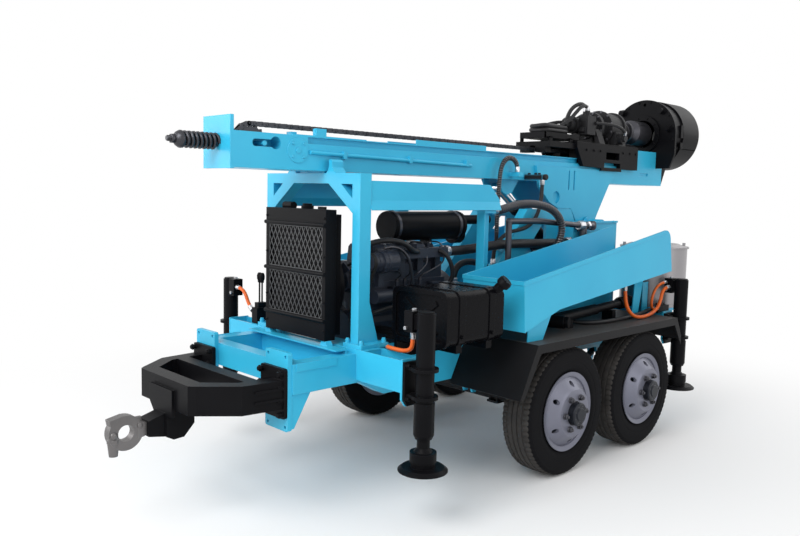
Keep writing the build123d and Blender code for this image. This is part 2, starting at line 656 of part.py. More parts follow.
def wheel_tyre():
    w = tyre_w / 2
    r = tyre_od / 2
    pts = [(214.3, -76.5), (235.3, -86), (300, -w), (r - 40, -w + 4), (r - 8, -w + 26), (r, -w + 45),
           (r, w - 45), (r - 8, w - 26), (r - 40, w - 4), (300, w), (235.3, 86), (214.3, 76.5)]
    with BuildSketch(Plane.XY) as profile:
        with BuildLine():
            Polyline(*pts, close=True)
        make_face()
    revolve(profile.sketch, axis=Axis.Y, revolution_arc=360)


with BuildPart() as rim_form:
    wheel_rim()
with BuildPart() as tyre_form:
    wheel_tyre()

# each turned form has its axis on Y and is laid on its axle with the dish outwards
for corner, (s, row) in corners.items():
    spot = Location((s * wheel_x, axle_y[row], axle_z), (0, 0, -90 * s))
    for name, form in (("rim_", rim_form), ("tyre_", tyre_form)):
        with BuildPart() as wheel:
            add(form.part.moved(spot))
        wheel.part.label = name + corner
        export_step(wheel.part, "parts/" + name + corner + ".step")

# tower: an open box with two side frames that carry the hinge and lean forward as braces
with BuildPart() as mast_tower:
    foot_front = (-387, rail_top)
    for s in (1, -1):
        side_plate([foot_front, (234, head_top), (820, head_top), (872, 1461), (1160, 1461), (1160, 1370),
                    (1060, 1300), (1060, rail_top), (520, rail_top), (520, 1488), (448, 1488),
                    (-200, rail_top)], s * side_x, s * (side_x + side_t))
        # the brace is a box beam, the side frame its inner wall
        side_plate([foot_front, (234, head_top), (448, head_top), (448, 1488), (-200, rail_top)],
                   s * (side_x + side_t), s * (side_x + 70))
        side_plate([(tower_y[0], rail_top), (1139, rail_top), (1139, cross_top), (tower_y[1], cross_top),
                    (tower_y[1], tower_top), (tower_y[0], tower_top)], s * (wall_x - wall_t), s * wall_x)
        box(s * side_x, s * wall_x, tower_y[0], tower_y[0] + 15, rail_top, tower_top)
        box(s * (side_x + side_t), s * wall_x, tower_y[1] - 15, tower_y[1], cross_top, tower_top - 90)
        # stiffeners and the boss round the hinge pin
        box(s * (wall_x - wall_t), s * (wall_x + 10), tower_y[0], tower_y[1], tower_top - 14, tower_top)
        box(s * wall_x, s * (wall_x + 10), tower_y[0] + 90, tower_y[0] + 104, 1180, tower_top)
        cyl_x(46, s * (side_x + side_t), s * (wall_x - wall_t), pivot_y, pivot_z)
        cyl_x(62, s * (side_x - 10), s * side_x, pivot_y, pivot_z)
        box(s * 140, s * 260, -400, -180, rail_top, rail_top + 14)
    box(-side_x, side_x, 540, 552, rail_top, 1120)
    cyl_z(16, 1230, 1278, 182, -22)
    cyl_z(16, 1150, 1190, 218, -92)
    rod(24, (side_x + 60, 111.5, 1200), (249, 120, 1200))
    cyl_x(pin_r, -wall_x, wall_x, pivot_y, pivot_z)
mast_tower.part.label = "mast_tower"
export_step(mast_tower.part, "parts/mast_tower.step")

# mast beam: head box with the chain tensioner, recessed flanges, end box at the drill table
with BuildPart() as mast_beam:
    box(-mast_half, mast_half, mast_front + 20, mast_rear, mast_bot, mast_side_top)
    box(-mast_half + 22, mast_half - 22, head_box_rear, mast_rear, mast_side_top, mast_top - 6)
    box(-mast_half, mast_half, mast_front + 20, head_box_rear, mast_side_top, mast_top)
    box(-mast_half, mast_half, head_box_rear, mast_rear, mast_top - 6, mast_top)
    box(-mast_half, mast_half, mast_front, mast_front + 20, 1742, 2000)
    # well for the chain wheel, open at the top, and the keyhole slots at its sides
    box(-25, 25, sprocket_y - 120, sprocket_y + 115, mast_bot + 8, mast_top + 1, mode=Mode.SUBTRACT)
    for s in (1, -1):
        box(s * 40, s * (mast_half + 1), -1848, -1735, 1855, 1892, mode=Mode.SUBTRACT)
        cyl_x(18.5, s * 40, s * (mast_half + 1), -1848, 1873.5, mode=Mode.SUBTRACT)
        cyl_x(32, s * 40, s * (mast_half + 1), -1728, 1877, mode=Mode.SUBTRACT)
        cyl_x(13, s * 20, s * (mast_half - 4), sprocket_y, sprocket_z)
        cyl_x(65, s * mast_half, s * (mast_half + 4), -1592, 1847)
        cyl_x(15, s * (mast_half + 4), s * (mast_half + 9), -1592, 1847)
        # edge strips and the stop block on the top flange
        box(s * 60, s * mast_half, -1622, -1121, mast_top, mast_top + 5)
        box(s * (mast_half - 6), s * mast_half, -729, -89, mast_top, mast_top + 30)
        # end box around the last run of the chain
        box(s * (mast_half - 20), s * mast_half, end_box_y, mast_rear, mast_side_top, end_box_top)
        side_plate([(1880, 1822), (2010, 1822), (2010, 1845), (1880, 1845)], s * (mast_half - 8),
                   s * (mast_half + 1), mode=Mode.SUBTRACT)
        # lugs for the lift cylinder
        side_plate([(110, mast_bot), (330, mast_bot), (262, 1660), (205, 1640), (160, 1660)], s * 60, s * 76)
        # line along the side, in two saddles
        rod(11, (s * (mast_half + 9), head_box_rear + 8, 1841), (s * (mast_half + 9), -1350, 1838))
        rod(11, (s * (mast_half + 9), -1350, 1838), (s * (mast_half + 9), -245, 1822))
        for y in (-1300, -800, -300):
            box(s * mast_half, s * (mast_half + 22), y, y + 24, 1815, 1855)
    box(96, mast_half, -1472, -1405, mast_top, mast_top + 43)
    box(mast_half, 215, 150, 200, 1765, 1795)
    box(mast_half, 278, 325, 375, 1752, 1782)
    box(-mast_half, mast_half, 1960, mast_rear, end_box_top - 8, end_box_top)
    box(-18, 18, -1560, -1520, mast_top, mast_top + 25)
    cyl_x(13, -20, 20, sprocket_y, sprocket_z)
mast_beam.part.label = "mast_beam"
export_step(mast_beam.part, "parts/mast_beam.step")

# two side plates that carry the mast on its hinge, with their lightening hole and slots
bracket_line = [(435, 1850), (478, 1702), (603, 1598), (715, 1552), (875, 1552), (960, 1440), (1020, 1375),
                (1150, 1375), (1235, 1518), (1390, 1747), (1500, 1850)]
with BuildPart() as mast_bracket:
    for s in (1, -1):
        side_plate(bracket_line, s * mast_half, s * (mast_half + plate_t))
        cyl_x(pin_r + run_gap, s * (mast_half - 1), s * (mast_half + plate_t + 1), pivot_y, pivot_z,
              mode=Mode.SUBTRACT)
        cyl_x(43, s * (mast_half + 6), s * (mast_half + plate_t + 1), 683, 1633, mode=Mode.SUBTRACT)
        for y in (829, 896):
            box(s * (mast_half + 6), s * (mast_half + plate_t + 1), y, y + 16, 1688, 1829, mode=Mode.SUBTRACT)
mast_bracket.part.label = "mast_bracket"
export_step(mast_bracket.part, "parts/mast_bracket.step")

# chain tension spring: stud, nut, cup and eight coils
with BuildPart() as tension_spring:
    cyl_y(14, -2257, mast_front, 0, 1873)
    taper(20, 36, (0, -2222, 1873), (0, -2190, 1873))
    for k in range(8):
        y = -2188 + 24.6 * k
        cyl_y(44, y, y + 15, 0, 1873)
    cyl_y(31, -2190, mast_front, 0, 1873)
tension_spring.part.label = "tension_spring"
export_step(tension_spring.part, "parts/tension_spring.step")

# feed chain over its wheel, with its link plates
links = int((2090 - sprocket_y) / chain_pitch)
with BuildPart() as feed_chain:
    chain_mid = chain_bot + chain_h / 2
    box(-9, 9, sprocket_y, 2100, chain_bot + 2, chain_bot + chain_h - 2)
    with Locations(*[(0, sprocket_y + chain_pitch * (k + 0.5), chain_mid) for k in range(links)]):
        Box(chain_w, chain_pitch * 0.62, chain_h)
    # half a turn round the wheel, whose teeth stand between the plates
    with BuildSketch(Plane.YZ.offset(-14)) as wrap:
        with Locations((sprocket_y, sprocket_z)):
            Circle(chain_bot + chain_h - sprocket_z)
            Circle(chain_bot - sprocket_z, mode=Mode.SUBTRACT)
        with Locations((sprocket_y + 100, sprocket_z)):
            Rectangle(200, 260, mode=Mode.SUBTRACT)
    extrude(wrap.sketch, amount=28)
    cyl_x(sprocket_r, -8, 8, sprocket_y, sprocket_z)
    cyl_x(13 + run_gap, -20, 20, sprocket_y, sprocket_z, mode=Mode.SUBTRACT)
    box(-14, 14, 2070, 2100, mast_top, chain_bot + 4)
feed_chain.part.label = "feed_chain"
export_step(feed_chain.part, "parts/feed_chain.step")

# feed carriage that slides on the mast: two blocks a side, joined above and below a window
carriage_in = mast_half + slide_gap
carriage_out = 168
carriage_y = (981, 1763)
with BuildPart() as feed_carriage:
    for s in (1, -1):
        side_plate([(carriage_y[0], 1868), (1268, 1862), (1268, 1905), (1500, 1905), (1500, 1862),
                    (carriage_y[1], 1862), (carriage_y[1], 2030), (carriage_y[0] - 90, 2030),
                    (carriage_y[0] - 90, 2005)], s * carriage_in, s * carriage_out)
        box(s * (carriage_in - 1), s * (carriage_out + 1), 1290, 1480, 1930, 1985, mode=Mode.SUBTRACT)
        # lower bridge under the window
        box(s * (carriage_out - 14), s * carriage_out, 1230, 1520, 1842, 1868)
        for ya, yb in ((carriage_y[0], 1268), (1500, carriage_y[1])):
            box(s * 40, s * 112, ya, yb, mast_top + run_gap, 2015)
            box(s * (mast_half - 18), s * (carriage_in + 2), ya, yb, mast_side_top + 8, mast_top - 6 - run_gap)
            for dy in (40, 140, 230):
                cyl_x(9, s * carriage_out, s * (carriage_out + 7), ya + dy, 1990)
        # arms forward to the chain
        box(s * 120, s * 150, 577, carriage_y[0] - 60, 1990, 2030)
        box(s * 24, s * 112, 577, 640, mast_top + 27, 2030)
        box(s * 112, s * 150, 577, 640, 1990, 2030)
    box(-carriage_out, carriage_out, carriage_y[0] - 90, carriage_y[1], 2010, 2045)
    box(-24, 24, 577, 640, 2000, 2030)
feed_carriage.part.label = "feed_carriage"
export_step(feed_carriage.part, "parts/feed_carriage.step")

# rotary head: motor, adaptor flanges, planet gearbox, nose and the side valve motor
head_rings = [(952, 985, 34), (985, 1040, 52), (1040, 1058, 66), (1058, 1150, 58), (1150, 1172, 74),
              (1172, 1215, 62), (1215, 1240, 98), (1240, 1300, 84), (1300, 1330, 116), (1330, 1410, 92),
              (1410, 1428, 137), (1428, 1600, 124), (1600, 1622, 137), (1622, 1660, 104), (1660, 1700, 78),
              (1700, 1748, 66), (1748, 1762, 74)]
with BuildPart() as rotary_head:
    # columns: y from, y to, radius
    for ya, yb, r in head_rings:
        cyl_y(r, ya, yb, 0, spin_z)
    for s in (1, -1):
        for ya, yb in ((1225, 1300), (1440, 1600)):
            front_plate([(s * 150, 2045), (s * 120, 2045), (s * 60, spin_z - 20), (s * 100, spin_z - 20)], ya, yb)
    box(-75, 75, 1230, 1330, 2045, 2180)
    box(-95, 95, 1430, 1620, 2045, 2120)
    # side motor and valve block that face the left
    box(90, 150, 1440, 1560, 2060, 2150)
    cyl_x(44, 150, 188, 1500, 2100)
    cyl_x(26, 188, 206, 1500, 2100)
    box(40, 120, 1090, 1200, 2110, 2250)
    box(60, 100, 1060, 1090, 2130, 2160)
    cyl_z(20, 2245, 2285, 60, 1145)
    cyl_z(20, 2245, 2285, 100, 1110)
    box(-60, 60, 1650, 1745, 2045, 2110)
rotary_head.part.label = "rotary_head"
export_step(rotary_head.part, "parts/rotary_head.step")

# spindle and its threaded socket
with BuildPart() as spindle:
    cyl_y(60, 1762 + run_gap, 1860, 0, spin_z)
    cyl_y(84, 1800, 1830, 0, spin_z)
    taper(60, 98, (0, 1860, spin_z), (0, 1900, spin_z))
    cyl_y(100, 1900, spindle_end, 0, spin_z)
    cyl_y(40, 1900, spindle_end + 3, 0, spin_z, mode=Mode.SUBTRACT)
spindle.part.label = "spindle"
export_step(spindle.part, "parts/spindle.step")

# hose tray on the head's forward arms, with the loop of hose that lies on it
with BuildPart() as hose_drum:
    box(-112, 112, 571, 1009, 2054, 2064)
    for s in (1, -1):
        box(s * 104, s * 112, 571, 1009, 2064, 2096)
        for ya, yb in ((600, 630), (845, 885)):
            box(s * 122, s * 134, ya, yb, 2030, 2066)
            box(s * 100, s * 134, ya, yb, 2054, 2066)
    box(-112, 112, 571, 579, 2064, 2096)
    with BuildSketch(Plane.XY.offset(2110)) as coil:
        with Locations((0, 765)):
            SlotOverall(372, 180, rotation=90)
            SlotOverall(252, 60, rotation=90, mode=Mode.SUBTRACT)
    extrude(coil.sketch, amount=56)
    box(-80, 80, 760, 780, 2064, 2112)
hose_drum.part.label = "hose_drum"
export_step(hose_drum.part, "parts/hose_drum.step")

# drill table housing at the mast foot
with BuildPart() as drill_table:
    ya, yb = table_y
    # front plate: round above, straight down its sides, drawn in below
    with BuildSketch(Plane.XZ.offset(-ya - 24)) as face:
        with Locations((0, spin_z)):
            Circle(table_r)
        with BuildLine():
            Polyline((-table_r, spin_z), (table_r, spin_z), (table_r, 2010), (246, 1892), (-246, 1892),
                     (-table_r, 2010), close=True)
        make_face()
    extrude(face.sketch, amount=24)
    # shell behind it: a drum set in a little, then the full-round rear cover
    cyl_y(table_r - 14, ya + 24, ya + 150, 0, spin_z)
    cyl_y(table_r, ya + 150, yb, 0, spin_z)
    cyl_y(table_r - 40, ya + 50, yb - 22, 0, spin_z, mode=Mode.SUBTRACT)
    cyl_y(ring_r, ya - 22, ya + 105, 0, spin_z)
    cyl_y(bushing_r + 18, yb - 60, yb - 20, 0, spin_z)
    cyl_y(bushing_r, ya - 30, yb + 1, 0, spin_z, mode=Mode.SUBTRACT)
    # rubber buffers, knob and the plate's hole
    for x, z, r in ((-198, 2370, 24), (162, 2372, 24), (232, 2224, 20)):
        cyl_y(r, ya - 48, ya, x, z)
        cyl_y(r + 6, ya - 12, ya, x, z)
    cyl_y(13, ya - 1, ya + 30, 0, 2430, mode=Mode.SUBTRACT)
    # raised grips and the joint of the split cover
    for s in (1, -1):
        box(s * (table_r - 20), s * (table_r - 2), ya + 105, ya + 150, 2150, 2255)
        box(s * (table_r - 20), s * (table_r - 2), ya + 105, ya + 150, 2060, 2110)
    box(-table_r - 2, table_r + 2, ya + 160, yb - 2, 2058, 2064, mode=Mode.SUBTRACT)
    # seat on the mast's end and the gussets below it
    box(-mast_half, mast_half, ya - 30, mast_rear, 1700, end_box_top, mode=Mode.SUBTRACT)
    for s in (1, -1):
        side_plate([(mast_rear, 1760), (mast_rear + 16, 1760), (mast_rear + 90, 1905),
                    (mast_rear + 90, 1960), (mast_rear, 1960)], s * (mast_half - 22), s * (mast_half - 8))
    box(-mast_half + 8, mast_half - 8, mast_rear, mast_rear + 14, 1760, end_box_top)
    cyl_y(ring_r - 2, ya + 110, yb - 62, 0, spin_z, mode=Mode.SUBTRACT)
drill_table.part.label = "drill_table"
export_step(drill_table.part, "parts/drill_table.step")

# mast lift cylinder
ly = lift_eye[1] - lift_base[1]
lz = lift_eye[2] - lift_base[2]
lift_len = sqrt(ly * ly + lz * lz)


def along(t):
    return (0, lift_base[1] + ly * t / lift_len, lift_base[2] + lz * t / lift_len)


with BuildPart() as lift_barrel:
    rod(45, along(40), along(545))
    rod(52, along(520), along(560))
    cyl_x(38, -40, 40, lift_base[1], lift_base[2])
    rod(30, along(20), along(60))
    rod(jack_rod_r - 2 + run_gap, along(60), along(600), mode=Mode.SUBTRACT)
    cyl_x(25, -41, 41, lift_base[1], lift_base[2], mode=Mode.SUBTRACT)
lift_barrel.part.label = "lift_barrel"
export_step(lift_barrel.part, "parts/lift_barrel.step")

with BuildPart() as lift_rod:
    rod(jack_rod_r - 2, along(120), along(lift_len - 20))
    cyl_x(34, -38, 38, lift_eye[1], lift_eye[2])
lift_rod.part.label = "lift_rod"
export_step(lift_rod.part, "parts/lift_rod.step")

with BuildPart() as lift_pin:
    cyl_x(25, -side_x, side_x, lift_base[1], lift_base[2])
    for s in (1, -1):
        cyl_x(40, s * (side_x - 18), s * side_x, lift_base[1], lift_base[2])
lift_pin.part.label = "lift_pin"
export_step(lift_pin.part, "parts/lift_pin.step")

# round tank on the rear shelf, with its rolled rim, lid and lid clamps
can_at = (540, 1410)
can_r = 236
with BuildPart() as oil_can:
    cyl_z(can_r, cross_top + 15, 1275, *can_at)
    cyl_z(can_r + 12, 1275, 1287, *can_at)
    taper(can_r - 12, can_r - 60, (*can_at, 1287), (*can_at, 1306))
    cyl_z(can_r + 5, cross_top + 40, cross_top + 48, *can_at)
    box(can_at[0] - 20, can_at[0] + 20, can_at[1] - 150, can_at[1] + 150, 1300, 1322)
    for k in range(4):
        turn = radians(45 + 90 * k)
        cyl_z(11, 1287, 1312, can_at[0] + 222 * cos(turn), can_at[1] + 222 * sin(turn))
oil_can.part.label = "oil_can"
export_step(oil_can.part, "parts/oil_can.step")

# two valve levers on the front crossmember, right side
lever_x = gantry_half + 116
with BuildPart() as control_levers:
    box(-lever_x - 28, -lever_x + 28, jack_y[0] - 45, jack_y[0] + 45, cross_top, 930)
    box(-lever_x - 20, -lever_x + 20, jack_y[0] - 30, jack_y[0] + 30, 930, 960)
    rod(13, (-lever_x - 22, -1396, 881), (-lever_x - 57, -1396, 906))
    for dx in (-14, 14):
        cyl_z(5, 955, 1110, -lever_x + dx, jack_y[0])
        taper(10, 14, (-lever_x + dx, jack_y[0], 1080), (-lever_x + dx, jack_y[0], 1112))
        taper(14, 9, (-lever_x + dx, jack_y[0], 1112), (-lever_x + dx, jack_y[0], 1140))
control_levers.part.label = "control_levers"
export_step(control_levers.part, "parts/control_levers.step")

# air main that lies on the mudguard, with its cross tube, clamps and rubber joint
with BuildPart() as air_pipe:
    rod(40, (610, -135, 885), (775, -75, 885))
    taper(38, 22, (610, -135, 885), (582.5, -145, 885))
    rod(34, (764, -79, 885), (800.3, -65.8, 885))
    rod(34, (705, -95, 895), (672, 420, 908))
    rod(28, (672, 420, 908), (650, 760, 918))
    rod(37, (652, 740, 917), (640, 900, 922))
    for t in (18, 44, 122, 140):
        rod(41, (652 - 0.075 * t, 740 + t, 917 + 0.03125 * t),
            (652 - 0.075 * (t + 10), 750 + t, 917 + 0.03125 * (t + 10)))
    rod(26, (640, 895, 922), (625, 1010, 926))
    for y in (60, 560):
        box(640, 720, y, y + 40, guard_top, 890)
air_pipe.part.label = "air_pipe"
export_step(air_pipe.part, "parts/air_pipe.step")

# water main along the left side: elbow at the brace, long tube, ball valve at the tower
with BuildPart() as water_inlet:
    cyl_x(20, side_x + 70, 334, -85, 1150)
    rod(20, (334, -85, 1150), (336, -90, 1475))
    rod(20, (336, -90, 1475), (318, 250, 1474))
    rod(20, (318, 250, 1474), (341, 700, 1440))
    rod(26, (341, 690, 1441), (342, 860, 1436))
    for at in ((334, -85, 1150), (336, -90, 1475), (318, 250, 1474)):
        with Locations(at):
            Sphere(21)
    cyl_z(26, 1345, 1436, 341, 750)
    cyl_x(34, 326, 358, 860, 1436)
    box(wall_x, 341, 735, 765, 1395, 1420)
water_inlet.part.label = "water_inlet"
export_step(water_inlet.part, "parts/water_inlet.step")

# valve block on the rear crossmember, left side
with BuildPart() as valve_block:
    box(720, 770, jack_y[1] - 120, jack_y[1] + 35, cross_top, 880)
    box(726, 762, jack_y[1] - 80, jack_y[1] - 20, 880, 896)
valve_block.part.label = "valve_block"
export_step(valve_block.part, "parts/valve_block.step")

# black hoses held by the frame
black_routes = [
    # radius, then the points from end to end
    (21, [(372, -302, 1545), (372, -230, 1545), (366, -130, 1568), (366, 0, 1588), (368, 150, 1588),
          (370, 300, 1562), (371, 410, 1504), (371, 452, 1415), (370, 420, 1325), (365, 345, 1252),
          (353, 262, 1217), (335, 190, 1204), (300, 138, 1200), (249, 120, 1200)]),
    (30, [(196, -540, 1290), (196, -450, 1290), (222, -345, 1298), (256, -235, 1312), (268, -105, 1322),
          (268, 60, 1325), (266, 230, 1322), (268, 400, 1318), (268, 560, 1316), (268, 691, 1316)]),
    (22, [(30, -265, 1060), (30, -265, 1125), (32, -215, 1185), (36, -110, 1200), (40, 20, 1170),
          (42, 140, 1110), (40, 260, 1062), (38, 400, 1045), (38, 540, 1045)]),
    (14, [(423, 180, 868), (488, 180, 868), (570, 196, 848), (660, 232, 838.5), (735, 300, 839),
          (757, 420, 838.5), (762, 600, 839), (750, 780, 839), (738, 940, 848), (734, 1020, 858),
          (734, 1085, 858)]),
]
with BuildPart() as hoses_black:
    for r, points in black_routes:
        hose(points, r)
hoses_black.part.label = "hoses_black"
export_step(hoses_black.part, "parts/hoses_black.step")

# orange hoses to the jacks' lock valves
orange_routes = [
    (11, [(-767, -1400, 1030), (-712, -1400, 1030), (-664, -1399, 1000), (-632, -1396, 936),
          (-lever_x - 57, -1396, 906)]),
    (12, [(802, 1160, 1018), (802, 1112, 1018), (801, 1068, 988), (800, 1052, 930), (800, 1012, 876),
          (802, 930, 848), (806, 820, 836.5), (806, 705, 845), (803, 630, 885), (800, 585, 945),
          (798, 571.1, 1020), (798, 565.4, 1070)]),
    (10, [(780, 1160, 1050), (780, 1108, 1050), (776, 1050, 1034), (770, 1008, 992), (764, 992, 932),
          (760, 1003, 884), (760, 1035, 862), (760, 1085, 862)]),
    (11, [(795, -1385, 975), (795, -1385, 925), (776, -1376, 882), (715, -1366, 862), (625, -1358, 860),
          (550, -1330, 855), (512, -1270, 835), (494, -1205, 795), (424, -1185, 785)]),
]
with BuildPart() as hoses_orange:
    for r, points in orange_routes:
        hose(points, r)
hoses_orange.part.label = "hoses_orange"
export_step(hoses_orange.part, "parts/hoses_orange.step")

# hoses from the mast's valve blocks down to the brace
mast_routes = [
    (13, [(182, 175, 1795), (182, 175, 1832), (182, 150, 1870), (182, 100, 1890), (182, 45, 1876),
          (182, 8, 1830), (182, -8, 1760), (182, -17, 1640), (182, -21, 1520), (182, -22, 1395),
          (182, -22, 1278.3)]),
    (13, [(262, 350, 1752), (262, 350, 1690), (262, 345, 1610), (261, 322, 1535), (260, 275, 1470),
          (258, 200, 1428), (255, 118, 1412), (245, 42, 1403), (230, -33, 1364), (220, -80, 1303),
          (218, -92, 1240), (218, -92, 1190.3)]),
]
with BuildPart() as mast_hoses:
    for r, points in mast_routes:
        hose(points, r)
mast_hoses.part.label = "mast_hoses"
export_step(mast_hoses.part, "parts/mast_hoses.step")
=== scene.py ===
from math import cos, pi, radians, sin, tau

import bmesh
import bpy
from mathutils import Matrix, Vector


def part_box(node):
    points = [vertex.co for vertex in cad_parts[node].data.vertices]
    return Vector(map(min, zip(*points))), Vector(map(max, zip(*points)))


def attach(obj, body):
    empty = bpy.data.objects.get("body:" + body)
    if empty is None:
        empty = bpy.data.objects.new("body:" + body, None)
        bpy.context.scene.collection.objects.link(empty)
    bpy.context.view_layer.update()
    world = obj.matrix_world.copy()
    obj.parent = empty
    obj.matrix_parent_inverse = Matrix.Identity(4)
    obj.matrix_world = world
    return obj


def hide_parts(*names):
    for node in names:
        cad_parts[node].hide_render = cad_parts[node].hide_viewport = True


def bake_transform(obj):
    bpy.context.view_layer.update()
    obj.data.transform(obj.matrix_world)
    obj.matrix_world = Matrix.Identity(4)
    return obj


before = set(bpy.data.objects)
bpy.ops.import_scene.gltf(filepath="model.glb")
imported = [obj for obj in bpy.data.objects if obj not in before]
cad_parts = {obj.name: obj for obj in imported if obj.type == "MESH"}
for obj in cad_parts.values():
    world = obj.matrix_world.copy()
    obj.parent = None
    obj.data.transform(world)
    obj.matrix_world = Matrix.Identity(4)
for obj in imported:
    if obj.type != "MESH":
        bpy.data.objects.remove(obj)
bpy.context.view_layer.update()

# places that several pieces share, in metres
TENSION_AXIS_Z = 1.873      # chain wheel and tension spring
DRILL_AXIS_Z = 2.182        # rotary head and drill table
JACK_Y = (-1.375, 1.205)    # front and rear jacks
CORNERS = ("fl", "fr", "rl", "rr")

# camera: the photograph's standpoint
CAMERA_PLACE = (3.409, -3.994, 1.6425)
CAMERA_TURN = 46.15
CAMERA_TILT = -5.58
CAMERA_ROLL = 1.28
LENS = 34.78

# lamps: name, place, size, power
LAMPS = (("key", (1.6, -6.4, 5.0), 4.0, 330),
         ("side", (6.5, 0.5, 3.2), 4.0, 80),
         ("fill", (-5.0, -6.0, 3.6), 5.0, 200),
         ("back", (2.0, 6.5, 5.0), 5.0, 110))
LAMPS_AIM = (0, 0, 1.0)
WORLD_LIGHT = 0.55                  # strength of the white world as light; seen directly it has 1
FLOOR_HALF = 40.0
FADE_FROM, FADE_FULL = 1.0, 4.5     # distances between which the floor turns white


def add_camera():
    data = bpy.data.cameras.new("camera")
    data.lens = LENS
    data.sensor_width = 36.0
    camera = bpy.data.objects.new("camera", data)
    bpy.context.scene.collection.objects.link(camera)
    camera.matrix_world = (Matrix.Translation(CAMERA_PLACE)
                           @ Matrix.Rotation(radians(CAMERA_TURN), 4, "Z")
                           @ Matrix.Rotation(radians(90 + CAMERA_TILT), 4, "X")
                           @ Matrix.Rotation(radians(CAMERA_ROLL), 4, "Z"))
    bpy.context.scene.camera = camera


# shader nodes
def noise(nodes, links, coords, scale, detail=2.0):
    node = nodes.new("ShaderNodeTexNoise")
    node.inputs["Scale"].default_value = scale
    node.inputs["Detail"].default_value = detail
    links.new(coords, node.inputs["Vector"])
    return node.outputs["Fac"]


def ramp(nodes, links, value, start, end, low=0.0, high=1.0):
    # low where value is at start, high where it is at end
    node = nodes.new("ShaderNodeMapRange")
    node.inputs["From Min"].default_value = start
    node.inputs["From Max"].default_value = end
    node.inputs["To Min"].default_value = low
    node.inputs["To Max"].default_value = high
    links.new(value, node.inputs["Value"])
    return node.outputs[0]


def spread(nodes, links, value, low, high):
    # a noise's middle values drawn out from low to high
    return ramp(nodes, links, value, 0.3, 0.7, low, high)


def laid_over(nodes, links, under, colour, factor):
    # colour mixed over what is under it, by factor
    mix = nodes.new("ShaderNodeMix")
    mix.data_type = "RGBA"
    mix.inputs["B"].default_value = (*colour, 1)
    links.new(factor, mix.inputs["Factor"])
    links.new(under, mix.inputs["A"])
    return mix.outputs["Result"]


def seen_directly(nodes, links):
    # 1 where a camera, glossy or transmission ray looks, 0 for the light that falls on the object
    path = nodes.new("ShaderNodeLightPath")
    last = path.outputs["Is Camera Ray"]
    for other in ("Is Glossy Ray", "Is Transmission Ray"):
        either = nodes.new("ShaderNodeMath")
        either.operation = "MAXIMUM"
        links.new(last, either.inputs[0])
        links.new(path.outputs[other], either.inputs[1])
        last = either.outputs[0]
    return last


def add_lights():
    world = bpy.data.worlds.new("studio")
    bpy.context.scene.world = world
    world.use_nodes = True
    nodes = world.node_tree.nodes
    links = world.node_tree.links
    background = nodes["Background"]
    background.inputs["Color"].default_value = (1, 1, 1, 1)
    level = ramp(nodes, links, seen_directly(nodes, links), 0.0, 1.0, WORLD_LIGHT, 1.0)
    links.new(level, background.inputs["Strength"])
    for name, place, size, power in LAMPS:
        data = bpy.data.lights.new(name, "AREA")
        data.size = size
        data.energy = power
        lamp = bpy.data.objects.new(name, data)
        lamp.location = place
        aim = Vector(LAMPS_AIM) - Vector(place)
        lamp.rotation_euler = aim.to_track_quat("-Z", "Y").to_euler()
        bpy.context.scene.collection.objects.link(lamp)


def add_floor():
    # pale floor that keeps the shadow near the object and turns into the white ground farther out
    mesh = bpy.data.meshes.new("floor")
    mesh.from_pydata([(x * FLOOR_HALF, y * FLOOR_HALF, 0) for x, y in ((-1, -1), (1, -1), (1, 1), (-1, 1))],
                     [], [(0, 1, 2, 3)])
    floor = bpy.data.objects.new("floor", mesh)
    bpy.context.scene.collection.objects.link(floor)
    material = bpy.data.materials.new("floor")
    material.use_nodes = True
    nodes = material.node_tree.nodes
    links = material.node_tree.links
    bsdf = nodes["Principled BSDF"]
    bsdf.inputs["Base Color"].default_value = (0.92, 0.92, 0.92, 1)
    bsdf.inputs["Roughness"].default_value = 0.8
    bsdf.inputs["Specular IOR Level"].default_value = 0.1
    glow = nodes.new("ShaderNodeEmission")
    coords = nodes.new("ShaderNodeTexCoord")
    length = nodes.new("ShaderNodeVectorMath")
    length.operation = "LENGTH"
    links.new(coords.outputs["Object"], length.inputs[0])
    fade = ramp(nodes, links, length.outputs["Value"], FADE_FROM, FADE_FULL)
    fade.node.interpolation_type = "SMOOTHSTEP"
    both = nodes.new("ShaderNodeMath")
    both.operation = "MULTIPLY"
    mix = nodes.new("ShaderNodeMixShader")
    links.new(fade, both.inputs[0])
    links.new(seen_directly(nodes, links), both.inputs[1])
    links.new(both.outputs[0], mix.inputs["Fac"])
    links.new(bsdf.outputs[0], mix.inputs[1])
    links.new(glow.outputs[0], mix.inputs[2])
    links.new(mix.outputs[0], nodes["Material Output"].inputs["Surface"])
    floor.data.materials.append(material)


# materials
COAT_ROUGHNESS = 0.12
GLOSSIER, ROUGHER = 0.05, 0.07      # how far the grain takes the roughness down and up
EDGE_RADIUS = 0.003
EDGE_FLAT, EDGE_SHARP = 0.98, 0.85  # rounded against true normal where the wear starts and is full
EDGE_WEAR = 0.35                    # share of the edge colour where the wear is full
DUST_FROM, DUST_FULL = 0.6, 0.95    # how far a face looks up where dust starts and is full
HUB_R = 0.0725                      # black within it on a rim
SIDE_WALL_R = 0.3725                # black within it on a tyre


